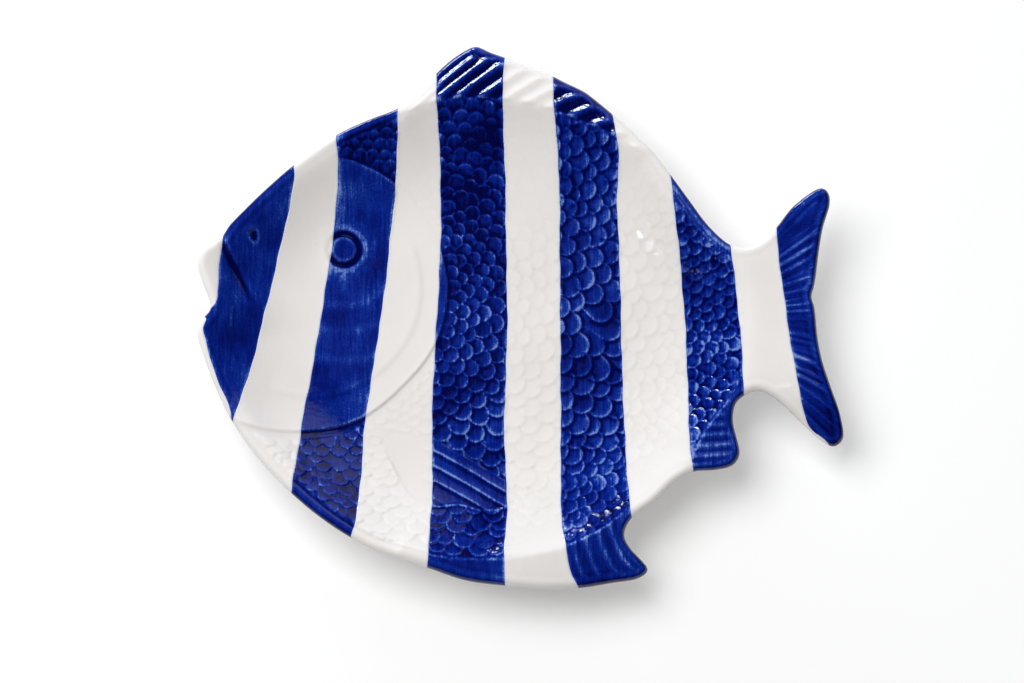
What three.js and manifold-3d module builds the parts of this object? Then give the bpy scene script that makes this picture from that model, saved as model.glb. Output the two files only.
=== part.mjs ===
// A fish-shaped dessert plate: a slip-cast earthenware dish on a foot ring, coated with bands of white and
// cobalt-blue glaze that run across the fish. Millimetres, +Z up, +X towards the tail, +Y towards the back fin.
import * as THREE from 'three';
import { mergeVertices } from 'three/addons/utils/BufferGeometryUtils.js';
import Module from 'manifold-3d';

// Dish section
const FOOT_HEIGHT = 4.5;
const FLOOR_THICKNESS = 5.5;
const WELL_DEPTH = 16;
const FLOOR_LENGTH = 112; // flat oval of the well
const FLOOR_WIDTH = 78;
const BASE_LENGTH = 138; // flat oval underneath
const BASE_WIDTH = 104;
const WALL_BOWING = 2; // 1 is a straight wall, 2 a parabola that is steepest at the rim
const BASE_BOWING = 1.6;
const GLAZE_THICKNESS = 0.6;
const GLAZE_BED = 0.3; // from the underside of the glaze to the clay

// Edge
const EDGE_THICKNESS = 4.8;
const EDGE_ROUNDING = 2.4; // width of the rounded part of the edge
const CREST_WIDTH = 1.2; // level strip between the rounded edge and the dish

// Foot ring
const FOOT_SETBACK = 2; // from the edge of the flat underneath to the ring
const FOOT_WIDTH = 5;
const FOOT_TAPER = 1;
const GLAZE_WIPE = 1; // bare strip on each side of the ring

// Glaze bands
const SEAM = 0.3; // gap between neighbouring coats

// Spacing of the stations round the edge
const STATION_SPACING = 16;

// Raised lines on the face
const RIDGE_WIDTH = 2.4;
const RIDGE_HEIGHT = 0.7;
const RAY_START = 0.15; // share of a fin from its root to where its rays start
const RAY_END = 0.75;

// Head
const HEAD_CENTRE = [-77, 7];
const GILL_RADIUS = 52;
const GILL_ENDS = [72, -118]; // degrees from the tail side, above and below
const CHEEK_RADIUS = 41;
const CHEEK_ENDS = [25, -95];
const EYE_CENTRE = [-66, 25.5];
const EYE_DIAMETER = 9.2;
const EYE_BULGE = 1.2;
const EYE_RING_DIAMETER = 17;

// Centre of the well, which the wall closes in on
const WELL_CENTRE = [-18.5, -1.5];

// Outer edge of the fish, counter-clockwise from the corner of the mouth. A fin or the tail also gives its root on
// the rim of the dish, point for point, how far its surface drops per millimetre away from that root, the number of
// its rays, and their lean as a share of the edge.
const PLAN = [
  {
    part: 'jaw and belly',
    edge: [
      [-115, 3], [-118, -1], [-120, -5.5], [-117.5, -15.5], [-112.5, -28.5], [-107, -40], [-97.5, -54],
      [-84.5, -68], [-70.5, -79.5], [-55.5, -88.5], [-44.5, -92.5],
    ],
  },
  {
    part: 'belly fin',
    drop: 0.2,
    rays: 7,
    lean: 0.1,
    edge: [
      [-44.5, -92.5], [-34, -96], [-20.5, -100.5], [-5.5, -102.5], [9.5, -103.5], [22.5, -103], [34, -101],
      [44, -99], [47.5, -96], [45, -92.5], [41, -88.5], [38.5, -83.5], [41, -77.5],
    ],
    root: [
      [-43, -89], [-33.5, -91.5], [-20.5, -93], [-7.5, -93], [5.5, -91], [15, -89], [22, -86],
      [26.5, -83.5], [29.5, -82], [32, -80.5], [34, -79], [36, -77], [38.5, -74.5],
    ],
  },
  {
    part: 'rear belly',
    edge: [[41, -77.5], [50, -70.5], [57.5, -63], [64, -59.5]],
  },
  {
    part: 'hind fin',
    drop: 0.15,
    rays: 3,
    lean: 0.05,
    edge: [[64, -59.5], [72.5, -58.5], [79, -56.5], [81.5, -52.5], [80.5, -46.5], [79, -40], [80, -33.5], [83, -30.5]],
    root: [[62.5, -56.5], [65.5, -50.5], [68, -45], [70, -42], [72, -39.5], [74.5, -36.5], [77, -33], [79.5, -29]],
  },
  {
    part: 'tail',
    drop: 0.02,
    rays: 8,
    lean: 0,
    edge: [
      [83, -30.5], [88, -28.5], [93.5, -30.5], [104, -39.5], [112, -46.5], [116.5, -48.5], [120, -45.5],
      [119, -38.5], [115, -25.5], [111, -14], [109, -1.5], [108, 8], [109.5, 18.5], [112, 32], [114.5, 43],
      [113.5, 47], [110.5, 48.5], [102, 42], [95, 33.5], [89, 28], [83, 26], [78, 27],
    ],
    root: [
      [79.5, -29], [81.5, -25.5], [82, -22], [82.5, -17.5], [83, -14], [83, -11.5], [83, -9.5],
      [83.5, -7.5], [83.5, -5.5], [83.5, -3.5], [83.5, -1.5], [83.5, 1], [83.5, 3], [83, 5.5], [83, 7.5],
      [82.5, 9], [82.5, 11], [81.5, 14], [81, 17], [80, 19.5], [78.5, 22], [76, 24],
    ],
  },
  {
    part: 'back',
    edge: [[78, 27], [70.5, 33], [63, 43], [56, 53], [48.5, 63]],
  },
  {
    part: 'back fin',
    drop: 0.12,
    rays: 8,
    lean: -0.1,
    edge: [
      [48.5, 63], [42, 69.5], [35, 76], [29.5, 81], [24, 85.5], [17, 89], [10.5, 92.5], [2.5, 95.5], [-5.5, 98.5],
      [-11, 100.5], [-16.5, 103], [-21, 101], [-26, 97.5], [-31, 93], [-38.5, 85], [-45.5, 80],
    ],
    root: [
      [45.5, 60.5], [40.5, 65], [35.5, 68], [30, 71], [24, 73.5], [17, 76.5], [10.5, 79.5], [2.5, 81], [-5.5, 82.5],
      [-11, 83.5], [-16.5, 83.5], [-21, 83.5], [-26, 83], [-31, 82], [-37.5, 80], [-44, 76.5],
    ],
  },
  {
    part: 'forehead',
    edge: [
      [-45.5, 80], [-56.5, 75.5], [-67, 70.5], [-76, 64.5], [-84.5, 58], [-94.5, 49], [-103, 40.5], [-108.5, 34.5],
      [-111, 30.5],
    ],
  },
  {
    part: 'upper lip',
    edge: [[-111, 30.5], [-118.5, 25], [-120, 20], [-118, 12.5], [-115, 3]],
  },
];

// Side fin, laid back along the body: its upper edge, its rays and its free end
const SIDE_FIN = [
  [[-50, -44], [-33, -47.5], [-18.5, -56], [-5, -64.5]],
  [[-40, -49], [-24, -56.5], [-7, -68]],
  [[-38, -54], [-26, -62], [-12, -70]],
  [[-36, -60], [-28, -66], [-19, -71.5]],
  [[-38, -72], [-22, -73.5], [-5, -74.5]],
];

// Borders between the glaze bands, each from beyond the top of the fish to beyond its underside
const BORDERS = {
  lip: [[-110, 45], [-111, 30], [-112, 20.5], [-112, 10], [-114.5, 4.5], [-121, 2]],
  jaw: [[-123, 1], [-117.5, -2.5], [-117, -6], [-115, -14], [-111.5, -24.5], [-107.5, -34], [-107, -39], [-112, -50]],
  snoutRear: [
    [-84.5, 75], [-84.5, 58], [-84, 52], [-85.5, 44.5], [-87.5, 33], [-90.5, 19.5], [-93, 7.5], [-96.5, -5.5],
    [-100.5, -20.5], [-104, -34], [-106, -40], [-110, -51],
  ],
  eyeFront: [
    [-68, 85], [-68, 70], [-67, 56], [-68.5, 42.5], [-69.5, 27], [-71.5, 14], [-75, -9], [-78, -26.5],
    [-80.5, -41.5], [-83, -57], [-84.5, -68], [-88, -85],
  ],
  eyeRear: [
    [-45.5, 95], [-45.5, 67.5], [-46, 52], [-47.5, 33], [-50, 10], [-53, -9], [-55.5, -22.5], [-57, -38],
    [-58.5, -53], [-60, -70.5], [-63, -84.5], [-67, -100],
  ],
  shoulderFront: [
    [-31, 110], [-31, 82.5], [-29.5, 59.5], [-29.5, 33], [-30, 6], [-31, -13], [-32, -32], [-32.5, -70.5],
    [-34, -96], [-35, -115],
  ],
  shoulderRear: [[-5, 115], [-6.5, 86.5], [-6.5, 59.5], [-5.5, 37], [-5, -5.5], [-5, -63], [-4.5, -74.5], [-5, -115]],
  flankFront: [[12, 110], [13.5, 75], [14.5, 44.5], [15, 6], [15, -63], [15.5, -78], [17.5, -91.5], [25, -115]],
  flankRear: [
    [34, 95], [36.5, 63.5], [36.5, 44.5], [37, 14], [38, -17], [38.5, -43.5], [40, -61], [41, -74.5], [42.5, -78.5],
    [52, -90], [54, -115],
  ],
  hindFront: [[55, 70], [56, 53], [58, 38.5], [60, 21.5], [62, -5.5], [63, -32], [63, -47.5], [64, -59.5], [65, -75]],
  hindRear: [[78, 42], [78.5, 27], [79, 15.5], [81, 2.5], [82, -13], [82.5, -24.5], [83.5, -31], [84.5, -50]],
  tailFront: [[94, 50], [95, 33.5], [96.5, 21.5], [98.5, 6], [100.5, -11], [103.5, -26.5], [105.5, -36], [109, -58]],
};

// Where a border leaves the plate altogether, past its ends
const CLEAR_OF_PLATE = 160;

const CREST_HEIGHT = FOOT_HEIGHT + FLOOR_THICKNESS + WELL_DEPTH;

// Shares of the wall at which the section has a ring of points, from the rim to the well
const WALL_SHARES = [0.3, 0.65, 1];
const BASE_SHARES = [0.45, 1];

// Fineness of round shapes
const DEGREE = Math.PI / 180;
const ARC_STEPS = 10;
const RIDGE_SIDES = 5;

// Turns round the edge, from straight up to straight down
const EDGE_TURNS_ABOVE = [Math.PI / 4, Math.PI / 2];
const EDGE_TURNS_BELOW = [(3 * Math.PI) / 4, Math.PI];

function smoothCurve(points) {
  const knots = points.map(([x, y]) => new THREE.Vector3(x, y, 0));
  return new THREE.CatmullRomCurve3(knots, false, 'centripetal');
}

// One station for each short step along the edge: its edge point, and for a fin its root point
function planStations() {
  const stations = [];
  for (const { edge, root, drop = 0 } of PLAN) {
    const edgeCurve = smoothCurve(edge);
    const rootCurve = root && smoothCurve(root);
    const spans = edge.length - 1;
    for (let span = 0; span < spans; span += 1) {
      const length = new THREE.Vector2(...edge[span]).distanceTo(new THREE.Vector2(...edge[span + 1]));
      const steps = Math.ceil(length / STATION_SPACING);
      for (let step = 0; step < steps; step += 1) {
        const share = (span + step / steps) / spans;
        stations.push({ edge: edgeCurve.getPoint(share), root: rootCurve?.getPoint(share), drop });
      }
    }
  }
  return stations;
}

// Adds to each station its outward direction, the start of its rounded edge and its point on the rim of the dish
function finishStations(stations) {
  stations.forEach((station, index) => {
    const before = stations.at(index - 1).edge;
    const after = stations[(index + 1) % stations.length].edge;
    station.outward = new THREE.Vector3(after.y - before.y, before.x - after.x, 0).normalize();
    station.shoulder = station.edge.clone().addScaledVector(station.outward, -EDGE_ROUNDING);
    station.rim = station.root ?? station.shoulder.clone().addScaledVector(station.outward, -CREST_WIDTH);
    station.shoulderHeight = CREST_HEIGHT - station.drop * station.rim.distanceTo(station.shoulder);
    station.bearing = Math.atan2(station.rim.y - WELL_CENTRE[1], station.rim.x - WELL_CENTRE[0]);
  });
  return stations;
}

const stations = finishStations(planStations());

function raised(point, height) {
  return new THREE.Vector3(point.x, point.y, height);
}

// Oval ring about the middle of the well
function ovalRing(length, width, height) {
  return stations.map(({ bearing }) => {
    const reach = 1 / Math.hypot((2 * Math.cos(bearing)) / length, (2 * Math.sin(bearing)) / width);
    const x = WELL_CENTRE[0] + reach * Math.cos(bearing);
    const y = WELL_CENTRE[1] + reach * Math.sin(bearing);
    return new THREE.Vector3(x, y, height);
  });
}

function ovalMiddle(height) {
  return [new THREE.Vector3(...WELL_CENTRE, height)];
}

// Rings down a bowed wall, from a ring on the rim of the dish to an oval
function wallRings(rim, oval, shares, bowing) {
  return shares.map((share) => rim.map((top, index) => {
    const bottom = oval[index];
    const height = bottom.z + (top.z - bottom.z) * (1 - share) ** bowing;
    return raised(top.clone().lerp(bottom, share), height);
  }));
}

function rimRing(height) {
  return stations.map(({ rim }) => raised(rim, height));
}

// A ring on the rounded edge, sunk by the thickness of the coat
function edgeRing(turn, sunk) {
  return stations.map((station) => {
    const out = (EDGE_ROUNDING - sunk) * Math.sin(turn);
    const up = (EDGE_THICKNESS / 2 - sunk) * Math.cos(turn);
    const point = station.shoulder.clone().addScaledVector(station.outward, out);
    return raised(point, station.shoulderHeight - EDGE_THICKNESS / 2 + up);
  });
}

// Upper surface from the middle of the well to the outermost edge
function faceRings(sunk) {
  const floorHeight = FOOT_HEIGHT + FLOOR_THICKNESS - sunk;
  const rim = rimRing(CREST_HEIGHT - sunk);
  const floor = ovalRing(FLOOR_LENGTH, FLOOR_WIDTH, floorHeight);
  return [
    ovalMiddle(floorHeight),
    ...wallRings(rim, floor, WALL_SHARES, WALL_BOWING).reverse(),
    rim,
    edgeRing(0, sunk),
    ...EDGE_TURNS_ABOVE.map((turn) => edgeRing(turn, sunk)),
  ];
}

// Lower surface from the outermost edge to the flat underneath
function backRings(sunk) {
  const rim = rimRing(CREST_HEIGHT - EDGE_THICKNESS + sunk);
  const base = ovalRing(BASE_LENGTH, BASE_WIDTH, FOOT_HEIGHT + sunk);
  return [
    ...EDGE_TURNS_BELOW.map((turn) => edgeRing(turn, sunk)),
    rim,
    ...wallRings(rim, base, BASE_SHARES, BASE_BOWING),
  ];
}

// Closed surface through a run of rings. A ring of one point is the middle of a cap. A loop joins its last ring to
// its first. Each four-sided facet is split along its shorter diagonal, so coats that share two rings also share facets.
function throughRings(rings, loop = false) {
  const count = stations.length;
  const pointOf = (ring, side) => (ring.length === 1 ? ring[0] : ring[side % count]);
  const corners = [];
  const strips = loop ? rings.length : rings.length - 1;
  for (let strip = 0; strip < strips; strip += 1) {
    const near = rings[strip];
    const far = rings[(strip + 1) % rings.length];
    for (let side = 0; side < count; side += 1) {
      const a = pointOf(near, side);
      const b = pointOf(far, side);
      const c = pointOf(far, side + 1);
      const d = pointOf(near, side + 1);
      if (near.length === 1) corners.push(a, b, c);
      else if (far.length === 1) corners.push(a, b, d);
      else if (a.distanceTo(c) < b.distanceTo(d)) corners.push(a, b, c, a, c, d);
      else corners.push(a, b, d, b, c, d);
    }
  }
  return mergeVertices(new THREE.BufferGeometry().setFromPoints(corners));
}

const wasm = await Module();
wasm.setup();

function toSolid(geometry) {
  const bare = geometry.clone();
  bare.deleteAttribute('normal');
  bare.deleteAttribute('uv');
  const merged = mergeVertices(bare);
  return new wasm.Manifold(new wasm.Mesh({
    numProp: 3,
    vertProperties: Float32Array.from(merged.attributes.position.array),
    triVerts: Uint32Array.from(merged.index.array),
  }));
}

function toGeometry(solid) {
  const { vertProperties, triVerts } = solid.getMesh();
  const geometry = new THREE.BufferGeometry();
  geometry.setAttribute('position', new THREE.BufferAttribute(vertProperties, 3));
  geometry.setIndex(new THREE.BufferAttribute(triVerts, 1));
  geometry.computeVertexNormals();
  return geometry;
}

// Upright block between two borders, kept half a seam clear of each
function bandBlock(front, rear) {
  const outline = [
    ...front.map(([x, y]) => new THREE.Vector2(x + SEAM / 2, y)),
    ...rear.map(([x, y]) => new THREE.Vector2(x - SEAM / 2, y)).reverse(),
  ];
  const block = new THREE.ExtrudeGeometry(new THREE.Shape(outline), { depth: 2 * CREST_HEIGHT, bevelEnabled: false });
  return toSolid(block);
}

const WHITE_GLAZE = { color: '#ebe7e4', roughness: 0.12, metalness: 0 };
const BLUE_GLAZE = { color: '#0f2378', roughness: 0.1, metalness: 0 };
const BISCUIT = { color: '#d9cbb8', roughness: 0.85, metalness: 0 };

const plate = new THREE.Group();

function addPiece(name, geometry, finish) {
  const mesh = new THREE.Mesh(geometry, new THREE.MeshStandardMaterial(finish));
  mesh.name = name;
  plate.add(mesh);
}

// Fired clay body: the dish with its fins and tail, flat underneath where the foot ring joins it
const clayDepth = GLAZE_THICKNESS + GLAZE_BED;
const clayFlat = FOOT_HEIGHT + clayDepth;
const clayRings = [...faceRings(clayDepth), ...backRings(clayDepth), ovalMiddle(clayFlat)];
addPiece('biscuit_body', throughRings(clayRings), BISCUIT);

// Foot ring, left bare so that the plate doesn't stick to the kiln shelf
const baseRing = (inset, height) => ovalRing(BASE_LENGTH - 2 * inset, BASE_WIDTH - 2 * inset, height);
const footOutside = FOOT_SETBACK;
const footInside = footOutside + FOOT_WIDTH + 2 * FOOT_TAPER;
const footRings = [
  baseRing(footOutside, clayFlat),
  baseRing(footOutside + FOOT_TAPER, 0),
  baseRing(footInside - FOOT_TAPER, 0),
  baseRing(footInside, clayFlat),
];
addPiece('foot_ring', throughRings(footRings, true), BISCUIT);

// White coat on the back, from a seam below the outermost edge to just short of the foot ring
const lowered = (ring) => ring.map((point) => raised(point, point.z - SEAM));
const outsideOfCoat = faceRings(0);
const insideOfCoat = faceRings(GLAZE_THICKNESS);
const coatFlat = FOOT_HEIGHT + GLAZE_THICKNESS;
const wipeOutside = footOutside - GLAZE_WIPE;
const backCoat = [
  lowered(outsideOfCoat.at(-1)),
  ...backRings(0),
  baseRing(wipeOutside, FOOT_HEIGHT),
  baseRing(wipeOutside, coatFlat),
  ...backRings(GLAZE_THICKNESS).reverse(),
  lowered(insideOfCoat.at(-1)),
];
addPiece('glaze_white_back', throughRings(backCoat, true), WHITE_GLAZE);

// White coat on the flat inside the foot ring
const wipeInside = footInside + GLAZE_WIPE;
const footWellCoat = [
  ovalMiddle(coatFlat),
  baseRing(wipeInside, coatFlat),
  baseRing(wipeInside, FOOT_HEIGHT),
  ovalMiddle(FOOT_HEIGHT),
];
addPiece('glaze_white_foot_well', throughRings(footWellCoat), WHITE_GLAZE);

// Raised lines moulded in the face: the gill cover, the cheek plate, the eye's ring, the side fin and the fins' rays
const faceForm = new THREE.Mesh(throughRings([...outsideOfCoat, ...insideOfCoat.toReversed()]));
const down = new THREE.Vector3(0, 0, -1);

function onFace([x, y]) {
  const above = new THREE.Vector3(x, y, 2 * CREST_HEIGHT);
  return new THREE.Raycaster(above, down).intersectObject(faceForm)[0].point;
}

function arcPoints([x, y], radius, [start, end]) {
  const arc = new THREE.EllipseCurve(x, y, radius, radius, start * DEGREE, end * DEGREE, start > end);
  return arc.getPoints(ARC_STEPS).map((point) => [point.x, point.y]);
}

function rayLines({ edge, root, rays, lean }) {
  const lines = [];
  for (let ray = 1; ray <= rays; ray += 1) {
    const share = ray / (rays + 1);
    const foot = smoothCurve(root).getPoint(share);
    const tip = smoothCurve(edge).getPoint(THREE.MathUtils.clamp(share + lean, 0, 1));
    const line = [RAY_START, (RAY_START + RAY_END) / 2, RAY_END].map((along) => foot.clone().lerp(tip, along));
    lines.push(line.map((point) => [point.x, point.y]));
  }
  return lines;
}

function ridge(line) {
  const sunk = new THREE.Vector3(0, 0, RIDGE_HEIGHT - RIDGE_WIDTH / 2);
  const path = new THREE.CatmullRomCurve3(line.map((point) => onFace(point).add(sunk)));
  const section = new THREE.Shape(new THREE.EllipseCurve(0, 0, RIDGE_WIDTH / 2, RIDGE_WIDTH / 2).getPoints(RIDGE_SIDES));
  const steps = line.length - 1;
  return toSolid(new THREE.ExtrudeGeometry(section, { steps, extrudePath: path, bevelEnabled: false }));
}

const lines = [
  arcPoints(HEAD_CENTRE, GILL_RADIUS, GILL_ENDS),
  arcPoints(HEAD_CENTRE, CHEEK_RADIUS, CHEEK_ENDS),
  arcPoints(EYE_CENTRE, EYE_RING_DIAMETER / 2, [180, 0]),
  arcPoints(EYE_CENTRE, EYE_RING_DIAMETER / 2, [360, 180]),
  ...SIDE_FIN,
  ...PLAN.filter(({ rays }) => rays).flatMap(rayLines),
];
const eye = new THREE.SphereGeometry(EYE_DIAMETER / 2, 12, 8).scale(1, 1, (2 * EYE_BULGE) / EYE_DIAMETER);
eye.translate(...onFace(EYE_CENTRE).toArray());
const relief = lines.map(ridge).reduce((whole, line) => whole.add(line), toSolid(eye));
const halfCoat = faceRings(GLAZE_THICKNESS / 2).reverse();
const reliefRoom = toSolid(throughRings([...faceRings(-RIDGE_WIDTH), ...halfCoat]));

// Coat on the face, cut into its white and blue bands from the snout to the tail
const faceCoat = toSolid(faceForm.geometry).add(relief.intersect(reliefRoom));
const clearFront = [[-CLEAR_OF_PLATE, CLEAR_OF_PLATE], [-CLEAR_OF_PLATE, -CLEAR_OF_PLATE]];
const clearRear = [[CLEAR_OF_PLATE, CLEAR_OF_PLATE], [CLEAR_OF_PLATE, -CLEAR_OF_PLATE]];
const BANDS = [
  ['glaze_white_lip', clearFront, BORDERS.lip, WHITE_GLAZE],
  ['glaze_white_jaw', clearFront, BORDERS.jaw, WHITE_GLAZE],
  ['glaze_blue_snout', [...BORDERS.lip, ...BORDERS.jaw], BORDERS.snoutRear, BLUE_GLAZE],
  ['glaze_white_cheek', BORDERS.snoutRear, BORDERS.eyeFront, WHITE_GLAZE],
  ['glaze_blue_eye', BORDERS.eyeFront, BORDERS.eyeRear, BLUE_GLAZE],
  ['glaze_white_gill', BORDERS.eyeRear, BORDERS.shoulderFront, WHITE_GLAZE],
  ['glaze_blue_shoulder', BORDERS.shoulderFront, BORDERS.shoulderRear, BLUE_GLAZE],
  ['glaze_white_middle', BORDERS.shoulderRear, BORDERS.flankFront, WHITE_GLAZE],
  ['glaze_blue_flank', BORDERS.flankFront, BORDERS.flankRear, BLUE_GLAZE],
  ['glaze_white_rear', BORDERS.flankRear, BORDERS.hindFront, WHITE_GLAZE],
  ['glaze_blue_hind', BORDERS.hindFront, BORDERS.hindRear, BLUE_GLAZE],
  ['glaze_white_tail_root', BORDERS.hindRear, BORDERS.tailFront, WHITE_GLAZE],
  ['glaze_blue_tail', BORDERS.tailFront, clearRear, BLUE_GLAZE],
];
for (const [name, front, rear, finish] of BANDS) {
  addPiece(name, toGeometry(faceCoat.intersect(bandBlock(front, rear))), finish);
}

// The origin is under the middle of the plate's box
const box = new THREE.Box3().setFromPoints(stations.map((station) => station.edge));
const middle = box.getCenter(new THREE.Vector3());
plate.position.set(-middle.x, -middle.y, 0);

export default plate;
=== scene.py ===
import math

import bpy
import numpy as np
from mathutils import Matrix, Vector, kdtree
from mathutils.geometry import delaunay_2d_cdt


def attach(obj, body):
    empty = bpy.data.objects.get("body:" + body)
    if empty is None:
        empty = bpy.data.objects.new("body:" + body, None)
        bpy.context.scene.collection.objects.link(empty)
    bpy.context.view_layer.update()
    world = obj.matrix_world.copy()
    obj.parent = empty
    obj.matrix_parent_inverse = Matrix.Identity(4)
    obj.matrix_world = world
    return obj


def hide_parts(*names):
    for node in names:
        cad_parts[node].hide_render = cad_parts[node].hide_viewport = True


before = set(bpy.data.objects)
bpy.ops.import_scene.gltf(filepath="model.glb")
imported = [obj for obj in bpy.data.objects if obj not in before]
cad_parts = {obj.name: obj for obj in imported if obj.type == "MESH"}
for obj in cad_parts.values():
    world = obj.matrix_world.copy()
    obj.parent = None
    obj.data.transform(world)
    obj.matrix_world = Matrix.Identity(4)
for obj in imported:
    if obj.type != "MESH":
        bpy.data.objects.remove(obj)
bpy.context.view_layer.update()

# Clay body
# One slip-cast earthenware dish in the plan of a fish: a flat oval floor, a bowed wall and a rim that runs
# out into the fins and the tail. Lengths are in millimetres, +X towards the tail and +Y to the back fin.
MILLIMETRE = 0.001
FOOT_HEIGHT = 4.5
FLOOR_HEIGHT = 10.0
CREST_HEIGHT = 26.0
FLOOR_LENGTH, FLOOR_WIDTH = 112.0, 78.0
BASE_LENGTH, BASE_WIDTH = 138.0, 104.0
WALL_BOWING = 2.0
BASE_BOWING = 1.6
WELL_CENTRE = np.array([-18.5, -1.5])
EDGE_THICKNESS = 4.8
EDGE_ROUNDING = 2.4
CREST_WIDTH = 1.2
CREST_SOFTNESS = 1.7  # how wide the turn from the wall to the rim is
FIN_SOFTNESS = 0.5  # and at the root of a fin
FIN_FALL = 0.08  # drop per millimetre from which the turn is wholly that of a fin
BASE_SOFTNESS = 1.5
CLAY_INSET = 0.65  # the clay's own edge lies this far inside the glaze
CLAY_DEPTH = 1.2  # of the clay under the glaze on the face
CLAY_LIFT = 0.65  # and over the glaze on the back
CLAY_EDGE = 0.15  # half the height of the clay's outermost strip
FILM = 0.05  # from the clay to the coat on it

# The outer edge, counter-clockwise from the corner of the mouth. A fin also gives its root on the rim of the
# dish and how far its surface drops per millimetre away from that root.
PLAN = {
    "belly": {
        "edge": [(-115, 3), (-118, -1), (-120, -5.5), (-117.5, -15.5), (-112.5, -28.5), (-107, -40),
                 (-97.5, -54), (-84.5, -68), (-70.5, -79.5), (-55.5, -88.5)],
    },
    "belly_fin": {
        "edge": [(-44.5, -92.5), (-34, -96), (-20.5, -100.5), (-5.5, -102.5), (9.5, -103.5),
                 (22.5, -103), (34, -101), (44, -99), (47.5, -96), (45, -92.5), (41, -88.5),
                 (38.5, -83.5)],
        "root": [(-43, -89), (-33.5, -91.5), (-20.5, -93), (-7.5, -93), (5.5, -91), (15, -89),
                 (22, -86), (32, -80.5), (38.5, -74.5)],
        "drop": 0.2,
    },
    "rear_belly": {
        "edge": [(41, -77.5), (50, -70.5), (57.5, -63)],
    },
    "hind_fin": {
        "edge": [(64, -59.5), (72.5, -58.5), (79, -56.5), (81.5, -52.5), (80.5, -46.5), (79, -40),
                 (80, -33.5)],
        "root": [(62.5, -56.5), (65.5, -50.5), (68, -45), (72, -39.5), (77, -33), (79.5, -29)],
        "drop": 0.15,
    },
    "tail": {
        "edge": [(83, -30.5), (88, -28.5), (93.5, -30.5), (104, -39.5), (112, -46.5), (116.5, -48.5),
                 (120, -45.5), (119.2, -38.5), (115.3, -26.5), (112.3, -17), (110.6, -8), (109.8, 1),
                 (109.3, 4.5), (108.3, 7.5), (109.3, 11), (110.1, 15.5), (111, 23), (112.8, 34),
                 (115.4, 43), (115.1, 47), (112.6, 49.2), (102, 42.3), (95, 33.5), (89, 28), (83, 26)],
        "root": [(79.5, -29), (82, -22), (83, -11.5), (83.5, -3.5), (83.5, 3), (82.5, 11), (80, 19.5),
                 (76, 24)],
        "drop": 0.02,
    },
    "back": {
        "edge": [(78, 27.5), (70.5, 34.3), (63, 44.6), (56, 54.5)],
    },
    "back_fin": {
        "edge": [(48.5, 64.4), (42, 70.9), (35, 77.4), (29.5, 82.2), (24, 86.6), (17, 90.1),
                 (10.5, 93.6), (2.5, 96.9), (-5.5, 100), (-11, 102), (-16.5, 104.4), (-21, 102.4),
                 (-26, 98.8), (-31, 94), (-38.5, 85.7)],
        "root": [(45.5, 61.6), (35.5, 68.6), (24, 73.8), (10.5, 79.5), (-5.5, 82.5), (-16.5, 83.5),
                 (-26, 83), (-37.5, 80), (-44, 76.5)],
        "drop": 0.12,
    },
    "forehead": {
        "edge": [(-45.5, 80), (-56.5, 75.5), (-67, 70.5), (-76, 64.5), (-84.5, 58), (-94.5, 49),
                 (-103, 40.5), (-108.5, 34.5)],
    },
    "upper_lip": {
        "edge": [(-111, 30.5), (-118.5, 25), (-120, 20), (-118, 12.5)],
    },
}
EDGE_STEP = 0.5
EDGE_EASING = 8  # rounds of averaging that take the corners off the drawn edge
CURVE_STEPS = 24  # between two drawn points, before they are spaced evenly


def through(points, step, closed=False):
    """Points at even steps along a smooth curve through the given ones."""
    knots = np.array(points, float)
    if closed:
        knots = np.vstack([knots[-1:], knots, knots[:2]])
    else:
        knots = np.vstack([2 * knots[0] - knots[1], knots, 2 * knots[-1] - knots[-2]])
    share = np.linspace(0, 1, CURVE_STEPS, endpoint=False)[:, None]
    spans = []
    for a, b, c, d in zip(knots, knots[1:], knots[2:], knots[3:]):
        before, span, after = (np.linalg.norm(q - p) ** 0.5 for p, q in ((a, b), (b, c), (c, d)))
        leave = (b - a) * span / before - (c - a) * span / (before + span) + c - b
        arrive = c - b - (d - b) * span / (span + after) + (d - c) * span / after
        held = (1 + 2 * share) * (1 - share) ** 2 * b + share**2 * (3 - 2 * share) * c
        spans.append(held + share * (1 - share) ** 2 * leave + share**2 * (share - 1) * arrive)
    spans.append(knots[-2:-1])
    fine = np.vstack(spans)
    along = np.append(0, np.cumsum(np.linalg.norm(np.diff(fine, axis=0), axis=1)))
    stops = np.linspace(0, along[-1], max(2, round(along[-1] / step) + 1))
    if closed:
        stops = stops[:-1]
    return np.column_stack([np.interp(stops, along, fine[:, axis]) for axis in (0, 1)])


def inward(line):
    """Unit directions to the left of a run of points, which is into the plate on its edge."""
    ahead = np.gradient(line, axis=0)
    return np.column_stack([-ahead[:, 1], ahead[:, 0]]) / np.linalg.norm(ahead, axis=1)[:, None]


def evened(values, rounds):
    """Values round a loop, each eased towards its neighbours."""
    for _ in range(rounds):
        values = (np.roll(values, 1, 0) + 2 * values + np.roll(values, -1, 0)) / 4
    return values


edge_knots = [point for part in PLAN.values() for point in part["edge"]]
outline = evened(through(edge_knots, EDGE_STEP, closed=True), EDGE_EASING)
edge_count = len(outline)
wrapped = np.vstack([outline[-1:], outline, outline[:1]])
edge_inward = inward(wrapped)[1:-1]
FRAME_ORIGIN = np.array([0.0, -0.25, 0.0])  # as it lies in the drawing


def search_tree(points):
    tree = kdtree.KDTree(len(points))
    for number, (px, py) in enumerate(points):
        tree.insert((px, py, 0), number)
    tree.balance()
    return tree


def nearest_in(tree, points):
    """Numbers of the points in a search tree that lie nearest to the given ones."""
    return np.array([tree.find((px, py, 0))[1] for px, py in points])


edge_tree = search_tree(outline)


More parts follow.
